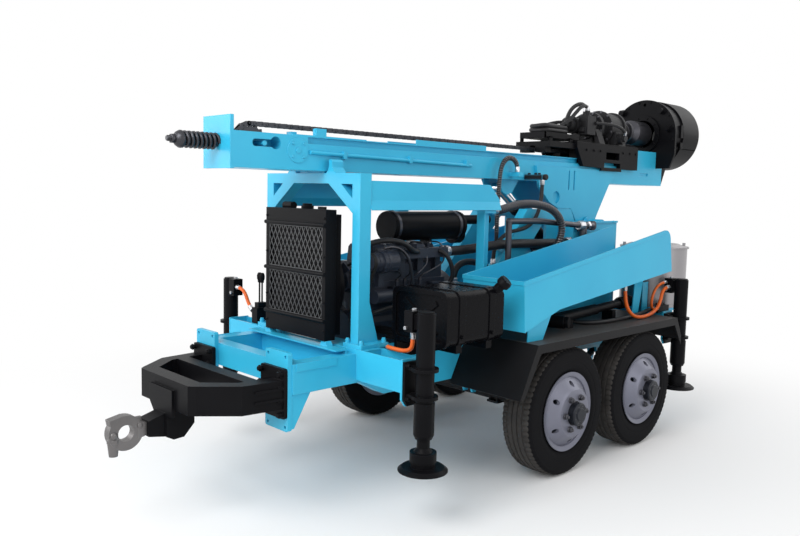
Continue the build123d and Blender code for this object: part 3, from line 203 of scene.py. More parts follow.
def surface(name, colour, shade, rough, metal=0.0, patch=2.5, grain=260.0, relief=0.0004, coat=0.0,
            edge=None, shine=0.5, dust=None):
    # colour drifts towards shade in broad patches; fine grain varies gloss and relief; edges show some wear;
    # dust lies on the faces that look up
    material = bpy.data.materials.new(name)
    material.use_nodes = True
    nodes = material.node_tree.nodes
    links = material.node_tree.links
    bsdf = nodes["Principled BSDF"]
    bsdf.inputs["Metallic"].default_value = metal
    bsdf.inputs["Specular IOR Level"].default_value = shine
    bsdf.inputs["Coat Weight"].default_value = coat
    bsdf.inputs["Coat Roughness"].default_value = COAT_ROUGHNESS
    coords = nodes.new("ShaderNodeTexCoord").outputs["Object"]
    broad = noise(nodes, links, coords, patch, 4.0)
    fine = noise(nodes, links, coords, grain)
    tone = nodes.new("ShaderNodeMix")
    tone.data_type = "RGBA"
    tone.inputs["A"].default_value = (*colour, 1)
    tone.inputs["B"].default_value = (*shade, 1)
    links.new(spread(nodes, links, broad, 0.0, 1.0), tone.inputs["Factor"])
    shown = tone.outputs["Result"]
    soft = nodes.new("ShaderNodeBevel")
    soft.samples = 4
    soft.inputs["Radius"].default_value = EDGE_RADIUS
    if edge:
        flat = nodes.new("ShaderNodeNewGeometry")
        bend = nodes.new("ShaderNodeVectorMath")
        bend.operation = "DOT_PRODUCT"
        links.new(soft.outputs[0], bend.inputs[0])
        links.new(flat.outputs["Normal"], bend.inputs[1])
        worn = ramp(nodes, links, bend.outputs["Value"], EDGE_FLAT, EDGE_SHARP, 0.0, EDGE_WEAR)
        shown = laid_over(nodes, links, shown, edge, worn)
    if dust:
        facing = nodes.new("ShaderNodeSeparateXYZ")
        links.new(nodes.new("ShaderNodeNewGeometry").outputs["Normal"], facing.inputs[0])
        lying = ramp(nodes, links, facing.outputs["Z"], DUST_FROM, DUST_FULL)
        shown = laid_over(nodes, links, shown, dust, lying)
    links.new(shown, bsdf.inputs["Base Color"])
    gloss = spread(nodes, links, fine, rough - GLOSSIER, rough + ROUGHER)
    links.new(gloss, bsdf.inputs["Roughness"])
    bump = nodes.new("ShaderNodeBump")
    bump.inputs["Distance"].default_value = relief
    bump.inputs["Strength"].default_value = 0.5
    links.new(fine, bump.inputs["Height"])
    links.new(soft.outputs[0], bump.inputs["Normal"])
    links.new(bump.outputs[0], bsdf.inputs["Normal"])
    return material


def brushed(name, colour, shade, rough, stretch):
    # metal with fine lines: the noise is drawn out along one direction
    material = surface(name, colour, shade, rough, metal=0.9, relief=0.0002)
    nodes = material.node_tree.nodes
    links = material.node_tree.links
    coords = nodes.new("ShaderNodeTexCoord").outputs["Object"]
    scaled = nodes.new("ShaderNodeVectorMath")
    scaled.operation = "MULTIPLY"
    scaled.inputs[1].default_value = stretch
    links.new(coords, scaled.inputs[0])
    lines = noise(nodes, links, scaled.outputs[0], 1.0, 3.0)
    links.new(spread(nodes, links, lines, rough - 0.03, rough + 0.05),
              nodes["Principled BSDF"].inputs["Roughness"])
    return material


def by_radius(material, centre, radius, inner):
    # another colour within a distance of the wheel's axis: the hub, or a tyre's side wall
    nodes = material.node_tree.nodes
    links = material.node_tree.links
    base = nodes["Principled BSDF"].inputs["Base Color"]
    coords = nodes.new("ShaderNodeTexCoord").outputs["Object"]
    shift = nodes.new("ShaderNodeVectorMath")
    shift.operation = "SUBTRACT"
    shift.inputs[1].default_value = centre
    across = nodes.new("ShaderNodeVectorMath")
    across.operation = "MULTIPLY"
    across.inputs[1].default_value = (0, 1, 1)
    far = nodes.new("ShaderNodeVectorMath")
    far.operation = "LENGTH"
    inside = nodes.new("ShaderNodeMath")
    inside.operation = "LESS_THAN"
    inside.inputs[1].default_value = radius
    links.new(coords, shift.inputs[0])
    links.new(shift.outputs[0], across.inputs[0])
    links.new(across.outputs[0], far.inputs[0])
    links.new(far.outputs["Value"], inside.inputs[0])
    links.new(laid_over(nodes, links, base.links[0].from_socket, inner, inside.outputs[0]), base)
    return material


def wheel_paint(name, centre):
    # silver dish with a black hub
    silver = surface(name, (0.20, 0.205, 0.255), (0.155, 0.16, 0.205), 0.38, metal=0.35, shine=0.3)
    return by_radius(silver, centre, HUB_R, (0.012, 0.014, 0.02))


def tyre_rubber(name, centre):
    # dusty tread, black side wall
    tread = surface(name, (0.060, 0.056, 0.053), (0.038, 0.036, 0.035), 0.72, relief=0.0007, patch=9.0,
                    shine=0.08)
    return by_radius(tread, centre, SIDE_WALL_R, (0.005, 0.005, 0.006))


BLUE = surface("blue_paint", (0.036, 0.45, 0.68), (0.030, 0.41, 0.645), 0.34, coat=0.12,
               edge=(0.18, 0.62, 0.82), shine=0.25)
BLACK = surface("black_paint", (0.003, 0.003, 0.004), (0.006, 0.006, 0.007), 0.40, edge=(0.025, 0.025, 0.028),
                shine=0.07)
DUSTY = surface("dusty_black", (0.006, 0.006, 0.007), (0.010, 0.010, 0.011), 0.5, edge=(0.035, 0.035, 0.04),
                shine=0.14, dust=(0.060, 0.056, 0.054))
MATT = surface("black_iron", (0.009, 0.009, 0.010), (0.016, 0.016, 0.018), 0.52, relief=0.0009,
               edge=(0.05, 0.05, 0.055), shine=0.2)
FINS = surface("core_fins", (0.004, 0.004, 0.005), (0.007, 0.007, 0.008), 0.5, shine=0.1)
GRILLE = surface("grille_steel", (0.060, 0.062, 0.066), (0.085, 0.087, 0.09), 0.42, metal=0.3, shine=0.3)
ENGINE = surface("engine_iron", (0.018, 0.022, 0.034), (0.032, 0.038, 0.055), 0.42, relief=0.0012,
                 grain=140.0, edge=(0.10, 0.115, 0.15), shine=0.3)
TANK = surface("tank_black", (0.002, 0.002, 0.003), (0.004, 0.004, 0.005), 0.24, coat=0.02, relief=0.00005,
               grain=40.0, edge=(0.02, 0.02, 0.022), shine=0.06)
# the spring guard is a black coil; its light grey colour is a painted highlight standing in for the glints on
# its rings
GUARD = surface("guard_grey_painted_highlight", (0.16, 0.16, 0.17), (0.11, 0.11, 0.12), 0.3, metal=0.6)
CAST = surface("zinc_steel", (0.20, 0.19, 0.19), (0.12, 0.115, 0.115), 0.42, metal=0.7, relief=0.0016,
               grain=110.0, edge=(0.45, 0.45, 0.44))
CHAIN = surface("chain_steel", (0.035, 0.036, 0.042), (0.06, 0.061, 0.068), 0.36, metal=0.8)
DARK_STEEL = surface("dark_steel", (0.06, 0.06, 0.07), (0.09, 0.09, 0.10), 0.36, metal=0.85)
BRIGHT = surface("bright_steel", (0.55, 0.55, 0.56), (0.43, 0.43, 0.45), 0.30, metal=0.95)
CHROME = surface("chrome_rod", (0.75, 0.75, 0.77), (0.68, 0.68, 0.7), 0.12, metal=1.0)
STAINLESS = brushed("stainless", (0.32, 0.31, 0.32), (0.28, 0.27, 0.28), 0.36, (8, 8, 420))
RUBBER = surface("belt_rubber", (0.012, 0.012, 0.013), (0.018, 0.018, 0.018), 0.66, relief=0.0007, shine=0.2)
HOSE = surface("hose_rubber", (0.009, 0.009, 0.010), (0.015, 0.015, 0.017), 0.46, relief=0.0006, grain=420.0,
               shine=0.28)
ORANGE = surface("orange_hose", (0.78, 0.145, 0.015), (0.64, 0.10, 0.012), 0.38, grain=420.0, shine=0.3)

node_finish = {
    "painted blue": (BLUE, ["chassis_frame", "gantry", "upper_frame", "trays", "mast_tower", "mast_beam",
                            "mast_bracket"]),
    "painted black": (BLACK, ["drawbar", "jack_tubes", "jack_leg_fl", "jack_leg_fr", "jack_leg_rl",
                              "jack_leg_rr", "radiator", "muffler", "drill_table", "lift_barrel",
                              "feed_carriage", "air_pipe", "control_levers", "valve_block",
                              "engine_mounts"]),
    "dusty black": (DUSTY, ["mudguards"]),
    "bare iron": (MATT, ["axles", "rotary_head", "hose_drum"]),
    "engine": (ENGINE, ["engine_block"]),
    "tank": (TANK, ["fuel_tank"]),
    "cast": (CAST, ["tow_eye"]),
    "dark steel": (DARK_STEEL, ["spindle", "lift_pin", "water_inlet"]),
    "chrome": (CHROME, ["lift_rod"]),
    "stainless": (STAINLESS, ["oil_can"]),
    "chain": (CHAIN, ["feed_chain", "tension_spring"]),
    "hose": (HOSE, ["hoses_black", "mast_hoses"]),
    "orange": (ORANGE, ["hoses_orange"]),
}


def dress_nodes():
    for material, names in node_finish.values():
        for name in names:
            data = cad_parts[name].data
            data.materials.clear()
            data.materials.append(material)
    for corner in CORNERS:
        low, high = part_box("rim_" + corner)
        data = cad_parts["rim_" + corner].data
        data.materials.clear()
        data.materials.append(wheel_paint("rim_paint_" + corner, (low + high) / 2))
        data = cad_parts["tyre_" + corner].data
        data.materials.clear()
        data.materials.append(tyre_rubber("tyre_rubber_" + corner, (low + high) / 2))


# mesh building
def turn_to(axis):
    return Vector(axis).normalized().to_track_quat("Z", "Y").to_matrix().to_4x4()


def finish_piece(name, bm, material, body, slot, smooth_below=38):
    mesh = bpy.data.meshes.new(name)
    bmesh.ops.recalc_face_normals(bm, faces=bm.faces)
    bm.to_mesh(mesh)
    bm.free()
    for polygon in mesh.polygons:
        polygon.use_smooth = True
    mesh.set_sharp_from_angle(angle=radians(smooth_below))
    piece = bpy.data.objects.new(name, mesh)
    bpy.context.scene.collection.objects.link(piece)
    mesh.materials.append(material)
    if body:
        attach(piece, body)
    return piece


def turns(count, start=0.0):
    # even angles round a circle, the first one start steps on
    return [tau * (k + start) / count for k in range(count)]


def join_rings(bm, rings):
    # quads from ring to ring and a cap at both ends
    for lower, upper in zip(rings, rings[1:]):
        count = len(lower)
        for k in range(count):
            bm.faces.new((lower[k], lower[(k + 1) % count], upper[(k + 1) % count], upper[k]))
    bm.faces.new(rings[0][::-1])
    bm.faces.new(rings[-1])


def add_turned(bm, profile, place, axis, steps=24):
    # profile: (distance along the axis, radius) points, turned once round the axis at place
    matrix = Matrix.Translation(place) @ turn_to(axis)
    rings = [[bm.verts.new(matrix @ Vector((radius * cos(turn), radius * sin(turn), along)))
              for turn in turns(steps)] for along, radius in profile]
    join_rings(bm, rings)


def add_bolt(bm, place, axis, size=0.012):
    # washer and chamfered hexagon head
    add_turned(bm, [(0, size * 1.3), (size * 0.22, size * 1.3)], place, axis, 16)
    head = Vector(place) + Vector(axis).normalized() * size * 0.22
    add_turned(bm, [(0, size), (size * 0.6, size), (size * 0.8, size * 0.82)], head, axis, 6)


def add_bar(bm, a, b, width, depth, up=(0, 1, 0)):
    # thin rectangular bar from a to b
    a, b = Vector(a), Vector(b)
    along = (b - a).normalized()
    side = along.cross(Vector(up)).normalized() * width / 2
    rise = Vector(up).normalized() * depth / 2
    join_rings(bm, [[bm.verts.new(p + side * i + rise * j) for i, j in ((-1, -1), (1, -1), (1, 1), (-1, 1))]
                    for p in (a, b)])


def add_block(bm, low, high, bevel):
    # block between two corners with its edges taken off
    part = bmesh.new()
    spots = [part.verts.new((x, y, z)) for z in (low[2], high[2])
             for x, y in ((low[0], low[1]), (high[0], low[1]), (high[0], high[1]), (low[0], high[1]))]
    for face in ((3, 2, 1, 0), (4, 5, 6, 7), (0, 1, 5, 4), (1, 2, 6, 5), (2, 3, 7, 6), (3, 0, 4, 7)):
        part.faces.new([spots[k] for k in face])
    bmesh.ops.bevel(part, geom=part.edges[:], offset=bevel, segments=2, affect="EDGES")
    mesh = bpy.data.meshes.new("block")
    part.to_mesh(mesh)
    part.free()
    bm.from_mesh(mesh)
    bpy.data.meshes.remove(mesh)


def smooth_line(points):
    # points read from the NURBS spline that has the route's points as its control points
    data = bpy.data.curves.new("route", "CURVE")
    data.dimensions = "3D"
    data.resolution_u = 10
    spline = data.splines.new("NURBS")
    spline.points.add(len(points) - 1)
    for spot, point in zip(spline.points, points):
        spot.co = (*point, 1)
    spline.order_u = 3
    spline.use_endpoint_u = True
    holder = bpy.data.objects.new("route", data)
    bpy.context.scene.collection.objects.link(holder)
    mesh = bpy.data.meshes.new_from_object(holder)
    line = [vertex.co.copy() for vertex in mesh.vertices]
    bpy.data.objects.remove(holder)
    bpy.data.curves.remove(data)
    bpy.data.meshes.remove(mesh)
    return line


def frames_along(line):
    # a steady pair of side directions at each point of the line
    side = None
    for k, point in enumerate(line):
        ahead = (line[min(k + 1, len(line) - 1)] - line[max(k - 1, 0)]).normalized()
        if side is None:
            side = ahead.orthogonal().normalized()
        side = (side - ahead * side.dot(ahead)).normalized()
        yield point, side, ahead.cross(side)


def add_tube(bm, line, radius, steps=14, ribs=0.0):
    # a closed tube along the line, with slight rings if ribs is set
    rings = []
    for index, (point, side, up) in enumerate(frames_along(line)):
        r = radius + (ribs if index % 2 else 0.0)
        rings.append([bm.verts.new(point + (side * cos(turn) + up * sin(turn)) * r) for turn in turns(steps)])
    join_rings(bm, rings)


def evenly(line, step):
    # the line read again at even distances
    out = [line[0]]
    left = step
    for a, b in zip(line, line[1:]):
        gap = (b - a).length
        while gap >= left:
            a = a + (b - a).normalized() * left
            gap -= left
            left = step
            out.append(a)
        left -= gap
    out.append(line[-1])
    return out


def add_helix(bm, line, radius, wire, pitch):
    # a wire wound round the line
    coil = []
    walked = 0.0
    previous = None
    for point, side, up in frames_along(evenly(line, pitch / 12)):
        if previous is not None:
            walked += (point - previous).length
        previous = point
        turn = tau * walked / pitch
        coil.append(point + (side * cos(turn) + up * sin(turn)) * radius)
    add_tube(bm, coil, wire, 6)


def add_ferrule(bm, end, inwards, radius):
    # crimped sleeve and hexagon at a hose's end
    for profile, steps in (([(0, 0.9), (0.002, 1.25), (0.034, 1.25), (0.038, 1.05)], 18),
                           ([(0, 1.2), (0.002, 1.42), (0.014, 1.42), (0.016, 1.2)], 6)):
        add_turned(bm, [(along, radius * share) for along, share in profile], end, inwards, steps)


# routes of the hoses, in metres: radius, then the points from end to end
BLACK_ROUTES = [
    (0.021, [(0.372, -0.302, 1.545), (0.372, -0.230, 1.545), (0.366, -0.130, 1.568), (0.366, 0.000, 1.588),
             (0.368, 0.150, 1.588), (0.370, 0.300, 1.562), (0.371, 0.410, 1.504), (0.371, 0.452, 1.415),
             (0.370, 0.420, 1.325), (0.365, 0.345, 1.252), (0.353, 0.262, 1.217), (0.335, 0.190, 1.204),
             (0.300, 0.138, 1.200), (0.249, 0.120, 1.200)]),
    (0.030, [(0.196, -0.540, 1.290), (0.196, -0.450, 1.290), (0.222, -0.345, 1.298), (0.256, -0.235, 1.312),
             (0.268, -0.105, 1.322), (0.268, 0.060, 1.325), (0.266, 0.230, 1.322), (0.268, 0.400, 1.318),
             (0.268, 0.560, 1.316), (0.268, 0.691, 1.316)]),
    (0.022, [(0.030, -0.265, 1.060), (0.030, -0.265, 1.125), (0.032, -0.215, 1.185), (0.036, -0.110, 1.200),
             (0.040, 0.020, 1.170), (0.042, 0.140, 1.110), (0.040, 0.260, 1.062), (0.038, 0.400, 1.045),
             (0.038, 0.540, 1.045)]),
    (0.014, [(0.423, 0.180, 0.868), (0.488, 0.180, 0.868), (0.570, 0.196, 0.848), (0.660, 0.232, 0.8385),
             (0.735, 0.300, 0.839), (0.757, 0.420, 0.8385), (0.762, 0.600, 0.839), (0.750, 0.780, 0.839),
             (0.738, 0.940, 0.848), (0.734, 1.020, 0.858), (0.734, 1.085, 0.858)]),
]
ORANGE_ROUTES = [
    (0.011, [(-0.767, -1.400, 1.030), (-0.712, -1.400, 1.030), (-0.664, -1.399, 1.000),
             (-0.632, -1.396, 0.936), (-0.590, -1.396, 0.906)]),
    (0.012, [(0.802, 1.160, 1.018), (0.802, 1.112, 1.018), (0.801, 1.068, 0.988), (0.800, 1.052, 0.930),
             (0.800, 1.012, 0.876), (0.802, 0.930, 0.848), (0.806, 0.820, 0.8365), (0.806, 0.705, 0.845),
             (0.803, 0.630, 0.885), (0.800, 0.585, 0.945), (0.798, 0.5711, 1.020), (0.798, 0.5654, 1.070)]),
    (0.010, [(0.780, 1.160, 1.050), (0.780, 1.108, 1.050), (0.776, 1.050, 1.034), (0.770, 1.008, 0.992),
             (0.764, 0.992, 0.932), (0.760, 1.003, 0.884), (0.760, 1.035, 0.862), (0.760, 1.085, 0.862)]),
    (0.011, [(0.795, -1.385, 0.975), (0.795, -1.385, 0.925), (0.776, -1.376, 0.882), (0.715, -1.366, 0.862),
             (0.625, -1.358, 0.860), (0.550, -1.330, 0.855), (0.512, -1.270, 0.835), (0.494, -1.205, 0.795),
             (0.424, -1.185, 0.785)]),
]
MAST_ROUTES = [
    (0.013, [(0.182, 0.175, 1.795), (0.182, 0.175, 1.832), (0.182, 0.150, 1.870), (0.182, 0.100, 1.890),
             (0.182, 0.045, 1.876), (0.182, 0.008, 1.830), (0.182, -0.008, 1.760), (0.182, -0.017, 1.640),
             (0.182, -0.021, 1.520), (0.182, -0.022, 1.395), (0.182, -0.022, 1.2783)]),
    (0.013, [(0.262, 0.350, 1.752), (0.262, 0.350, 1.690), (0.262, 0.345, 1.610), (0.261, 0.322, 1.535),
             (0.260, 0.275, 1.470), (0.258, 0.200, 1.428), (0.255, 0.118, 1.412), (0.245, 0.042, 1.403),
             (0.230, -0.033, 1.364), (0.220, -0.080, 1.303), (0.218, -0.092, 1.240),
             (0.218, -0.092, 1.1903)]),
]


def add_hoses():
    for name, routes, material, node, body, slot in (
            ("black_hoses", BLACK_ROUTES, HOSE, "hoses_black", "chassis", "hose_rubber"),
            ("orange_hoses", ORANGE_ROUTES, ORANGE, "hoses_orange", "chassis", "orange_hose"),
            ("mast_lines", MAST_ROUTES, HOSE, "mast_hoses", None, "hose_rubber")):
        bm = bmesh.new()
        ends = bmesh.new()
        for radius, points in routes:
            line = evenly(smooth_line(points), radius * 0.5)
            add_tube(bm, line, radius * 0.97, 16, ribs=radius * 0.03)
            for end, beside in ((line[0], line[2]), (line[-1], line[-3])):
                add_ferrule(ends, end, beside - end, radius)
        hoses = finish_piece(name, bm, material, body, slot, 60)
        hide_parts(node)
        fittings = finish_piece(name + "_fittings", ends, BRIGHT, body, "zinc_steel")
        if body is None:
            for piece in (hoses, fittings):
                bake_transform(piece)
    # spring guards, in grey as a painted highlight: round the big loop on the left, and round the line to the
    # mast without its ends
    bm = bmesh.new()
    add_helix(bm, smooth_line(BLACK_ROUTES[0][1]), 0.0240, 0.0036, 0.019)
    finish_piece("hose_guard", bm, GUARD, "chassis", "dark_steel", 60)
    bm = bmesh.new()
    add_helix(bm, smooth_line(MAST_ROUTES[0][1])[8:-6], 0.0150, 0.0024, 0.015)
    guard = finish_piece("mast_guard", bm, GUARD, None, "dark_steel", 60)
    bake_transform(guard)


def add_grille():
    # crossed wires in the two fields of the radiator's front, each with a rim
    bm = bmesh.new()
    half = 0.244
    wire_y, rim_y, fin_y = -1.510, -1.511, -1.4955
    slope = 1.75
    pitch = 0.037
    shortest = 0.004
    for bottom, top in ((0.972, 1.198), (1.222, 1.452)):
        run = (top - bottom) / slope
        for lean in (1, -1):
            for k in range(int((2 * half + run) / pitch) + 1):
                # a strand starts left of the field and is cut to it at both ends
                x = -half - run + k * pitch
                a = max(x, -half)
                b = min(x + run, half)
                if b - a < shortest:
                    continue
                za, zb = bottom + (a - x) * slope, bottom + (b - x) * slope
                y = wire_y + 0.0012 * lean
                add_bar(bm, (a * lean, y, za), (b * lean, y, zb), 0.0050, 0.0024)
        for z in (bottom, top):
            add_bar(bm, (-half, rim_y, z), (half, rim_y, z), 0.008, 0.004)
        for x in (-half, half):
            add_bar(bm, (x, rim_y, bottom), (x, rim_y, top), 0.008, 0.004)
    finish_piece("grille_mesh", bm, GRILLE, "chassis", "black_paint")
    # core fins behind the wires
    bm = bmesh.new()
    half = 0.240
    pitch = 0.009
    for bottom, top in ((0.976, 1.194), (1.226, 1.448)):
        for k in range(int((top - bottom) / pitch)):
            z = bottom + pitch * (k + 0.5)
            add_bar(bm, (-half, fin_y, z), (half, fin_y, z), 0.0025, 0.004)
    finish_piece("core_fins", bm, FINS, "chassis", "black_paint")


def tread_cut(a, k):
    # depth of the cuts in the tread at distance a from the middle, in step k round the tyre
    if 0.022 <= abs(a) <= 0.046 and (k + int(a * 1500)) % 6 == 0:
        return 0.004
    if 0.058 <= abs(a) <= 0.0945 and (k + (1 if a > 0 else 0)) % 3 == 0:
        return 0.007
    return 0.0


def add_tyres():
    # half of the outline from the middle of the tread to the bead: (distance from the middle, radius)
    half = [(0.000, 0.3835), (0.011, 0.3835), (0.013, 0.3755), (0.020, 0.3755), (0.022, 0.3830),
            (0.046, 0.3825), (0.048, 0.3750), (0.056, 0.3750), (0.058, 0.3820), (0.078, 0.3805),
            (0.088, 0.3765), (0.0945, 0.3690), (0.0985, 0.3560), (0.1005, 0.3520), (0.1002, 0.3480),
            (0.1015, 0.3380), (0.1022, 0.3150), (0.1015, 0.2960), (0.1000, 0.2940), (0.1008, 0.2900),
            (0.0990, 0.2720), (0.0960, 0.2560), (0.0935, 0.2540), (0.0925, 0.2500), (0.0890, 0.2420),
            (0.0850, 0.2370), (0.0780, 0.2160)]
    outline = [(-a, r) for a, r in half[:0:-1]] + half
    steps = 216
    for corner in CORNERS:
        low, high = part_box("tyre_" + corner)
        middle = (low + high) / 2
        bm = bmesh.new()
        rings = []
        for k, turn in enumerate(turns(steps)):
            ring = []
            for a, r in outline:
                out = r - tread_cut(a, k)
                ring.append(bm.verts.new(middle + Vector((a, out * cos(turn), out * sin(turn)))))
            rings.append(ring)
        for k in range(steps):
            here, then = rings[k], rings[(k + 1) % steps]
            for j in range(len(outline) - 1):
                bm.faces.new((here[j], here[j + 1], then[j + 1], then[j]))
            bm.faces.new((here[-1], here[0], then[0], then[-1]))
        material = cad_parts["tyre_" + corner].data.materials[0]
        tyre = finish_piece("treaded_tyre_" + corner, bm, material, "wheel_" + corner, "tyre_rubber", 30)
        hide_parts("tyre_" + corner)


def add_wheel_nuts():
    seat_x, nut_ring = 0.950, 0.100
    hub_x, hub_ring = 0.985, 0.050
    for corner in CORNERS:
        low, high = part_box("rim_" + corner)
        middle = (low + high) / 2
        side = 1 if middle.x > 0 else -1
        bm = bmesh.new()
        for turn in turns(6):
            place = Vector((seat_x * side, middle.y + nut_ring * cos(turn), middle.z + nut_ring * sin(turn)))
            add_turned(bm, [(0, 0.019), (0.004, 0.019), (0.005, 0.0165), (0.019, 0.0165), (0.021, 0.013)],
                       place, (side, 0, 0), 6)
            add_turned(bm, [(0, 0.009), (0.028, 0.009), (0.030, 0.007)], place, (side, 0, 0), 12)
        # small bolts on the hub's face
        for turn in turns(8, 0.5):
            place = Vector((hub_x * side, middle.y + hub_ring * cos(turn), middle.z + hub_ring * sin(turn)))
            add_bolt(bm, place, (side, 0, 0), 0.0055)
        finish_piece("wheel_nuts_" + corner, bm, DARK_STEEL, "wheel_" + corner, "dark_steel")


def add_spring():
    # coil on its rod, with a cup, a nut and the thread that stands out in front
    bm = bmesh.new()
    coil_from, coil_length, coil_steps = -2.186, 0.192, 60
    axis = [Vector((0, coil_from + coil_length * k / coil_steps, TENSION_AXIS_Z))
            for k in range(coil_steps + 1)]
    add_helix(bm, axis, 0.0355, 0.0078, 0.0235)
    start = Vector((0, -1.991, TENSION_AXIS_Z))
    add_turned(bm, [(0, 0.027), (0.196, 0.027)], start, (0, -1, 0), 20)
    add_turned(bm, [(0.193, 0.043), (0.199, 0.043), (0.215, 0.034), (0.224, 0.024), (0.226, 0.017)],
               start, (0, -1, 0), 24)
    thread = [(0.224, 0.013)]
    thread_pitch = 0.0036
    for k in range(10):
        thread += [(0.228 + thread_pitch * k, 0.0145), (0.2298 + thread_pitch * k, 0.0128)]
    add_turned(bm, thread + [(0.2655, 0.0115)], start, (0, -1, 0), 16)
    add_turned(bm, [(0.226, 0.022), (0.228, 0.024), (0.242, 0.024), (0.244, 0.022)], start, (0, -1, 0), 6)
    spring = finish_piece("coil_spring", bm, CHAIN, "mast", "chain_steel", 50)
    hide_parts("tension_spring")


def add_chain():
    # straight run on top of the mast, then half a turn round the wheel at its front end
    wheel = Vector((0, -1.792, TENSION_AXIS_Z))
    run_end = 2.095
    radius = 0.102
    pitch = 0.0381
    plate_r, plate_thick = 0.0125, 0.003
    across = Vector((1, 0, 0))
    spots = []
    for k in range(int((run_end - wheel.y) / pitch)):
        spots.append((wheel + Vector((0, pitch * k, radius)), Vector((0, 1, 0))))
    for k in range(1, int(pi * radius / pitch) + 1):
        turn = k * pitch / radius
        spots.append((wheel + Vector((0, -sin(turn), cos(turn))) * radius, Vector((0, cos(turn), sin(turn)))))
    bm = bmesh.new()
    for index, (place, ahead) in enumerate(spots):
        up = across.cross(ahead)
        reach = pitch / 2
        gap = 0.0135 if index % 2 else 0.0100
        for side in (1, -1):
            rims = []
            for offset in (gap, gap + plate_thick):
                rim = []
                for turn in turns(12):
                    shift = reach if cos(turn) >= 0 else -reach
                    rim.append(bm.verts.new(place + ahead * (shift + plate_r * cos(turn))
                                            + up * plate_r * sin(turn) + across * side * offset))
                rims.append(rim)
            join_rings(bm, rims)
        pin = place - ahead * reach
        add_turned(bm, [(-0.0165, 0.0045), (0.0165, 0.0045)], pin, (1, 0, 0), 8)
        add_turned(bm, [(-0.009, 0.009), (0.009, 0.009)], pin, (1, 0, 0), 10)
    # toothed wheel: tip and root radii by turns
    teeth = 17
    tip_r, root_r = 0.098, 0.084
    rims = []
    for x in (-0.007, 0.007):
        rim = []
        for k, turn in enumerate(turns(2 * teeth)):
            reach = tip_r if k % 2 else root_r
            rim.append(bm.verts.new(wheel + Vector((x, reach * cos(turn), reach * sin(turn)))))
        rims.append(rim)
    join_rings(bm, rims)
    # anchor under the far end of the run
    add_bar(bm, (0, 2.072, 1.925), (0, 2.072, 1.968), 0.026, 0.03)
    chain = finish_piece("roller_chain", bm, CHAIN, "mast", "chain_steel", 40)
    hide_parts("feed_chain")


def add_bolts():
    # hexagon heads on the flanges and plates, painted with what they hold
    black = bmesh.new()
    blue = bmesh.new()
    for side in (1, -1):
        # coupling plates of the drawbar
        for dx in (-0.082, 0.082):
            for dz in (-0.100, -0.034, 0.034, 0.100):
                add_bolt(black, (side * 0.331 + dx, -1.897, 0.668 + dz), (0, -1, 0), 0.013)
        # feet of the mast rest
        for dy in (-0.008, 0.148):
            for x in (0.343, 0.453):
                add_bolt(blue, (side * x, -1.410 + dy, 0.869), (0, 0, 1), 0.010)
        # jack tubes
        for y in JACK_Y:
            for dy in (-0.048, 0.048):
                for z in (0.648, 0.812):
                    add_bolt(black, (side * 0.806, y + dy, z), (side, 0, 0), 0.010)
        # radiator housing
        for z in (0.91, 1.06, 1.30, 1.50):
            add_bolt(black, (side * 0.259, -1.5155, z), (0, -1, 0), 0.006)
        # sides of the tower, round the mast's hinge
        for y in (0.74, 0.86, 1.20):
            add_bolt(blue, (side * 0.310, y, 1.459), (side, 0, 0), 0.007)
    finish_piece("frame_bolts", black, BLACK, "chassis", "black_paint")
    finish_piece("tower_bolts", blue, BLUE, "chassis", "blue_paint")
    # the mast's sides, near the front end and near the table
    blue = bmesh.new()
    ring = 0.048
    for side in (1, -1):
        for turn in turns(4, 0.5):
            place = (side * 0.131, -1.592 + ring * cos(turn), 1.847 + ring * sin(turn))
            add_bolt(blue, place, (side, 0, 0), 0.006)
        for y in (1.83, 2.06, 2.16):
            add_bolt(blue, (side * 0.127, y, 1.905), (side, 0, 0), 0.007)
    finish_piece("mast_bolts", blue, BLUE, "mast", "blue_paint")
    # two rings on the table's front, without the bolts that the mast would hide
    black = bmesh.new()
    for angles, ring, y, lowest, size in ((turns(16, 0.5), 0.272, 2.135, -0.55, 0.009),
                                          (turns(10), 0.137, 2.113, -0.8, 0.008)):
        for turn in angles:
            if sin(turn) > lowest:
                place = (ring * cos(turn), y, DRILL_AXIS_Z + ring * sin(turn))
                add_bolt(black, place, (0, -1, 0), size)
    finish_piece("table_bolts", black, BLACK, "mast", "black_paint")
    # flanges of the rotary head
    head = bmesh.new()
    for y, ring, size in ((1.410, 0.128, 0.009), (1.215, 0.090, 0.007), (1.300, 0.106, 0.008)):
        for turn in turns(12, 0.5):
            add_bolt(head, (ring * cos(turn), y, DRILL_AXIS_Z + ring * sin(turn)), (0, -1, 0), size)
    finish_piece("head_bolts", head, DARK_STEEL, "head", "dark_steel")


def hull_of(points):
    # the convex outline of flat points, anticlockwise
    points = sorted(points)
    halves = []
    for run in (points, points[::-1]):
        half = []
        for p in run:
            while len(half) > 1 and ((half[-1][0] - half[-2][0]) * (p[1] - half[-2][1])
                                     <= (half[-1][1] - half[-2][1]) * (p[0] - half[-2][0])):
                half.pop()
            half.append(p)
        halves.append(half[:-1])
    return halves[0] + halves[1]


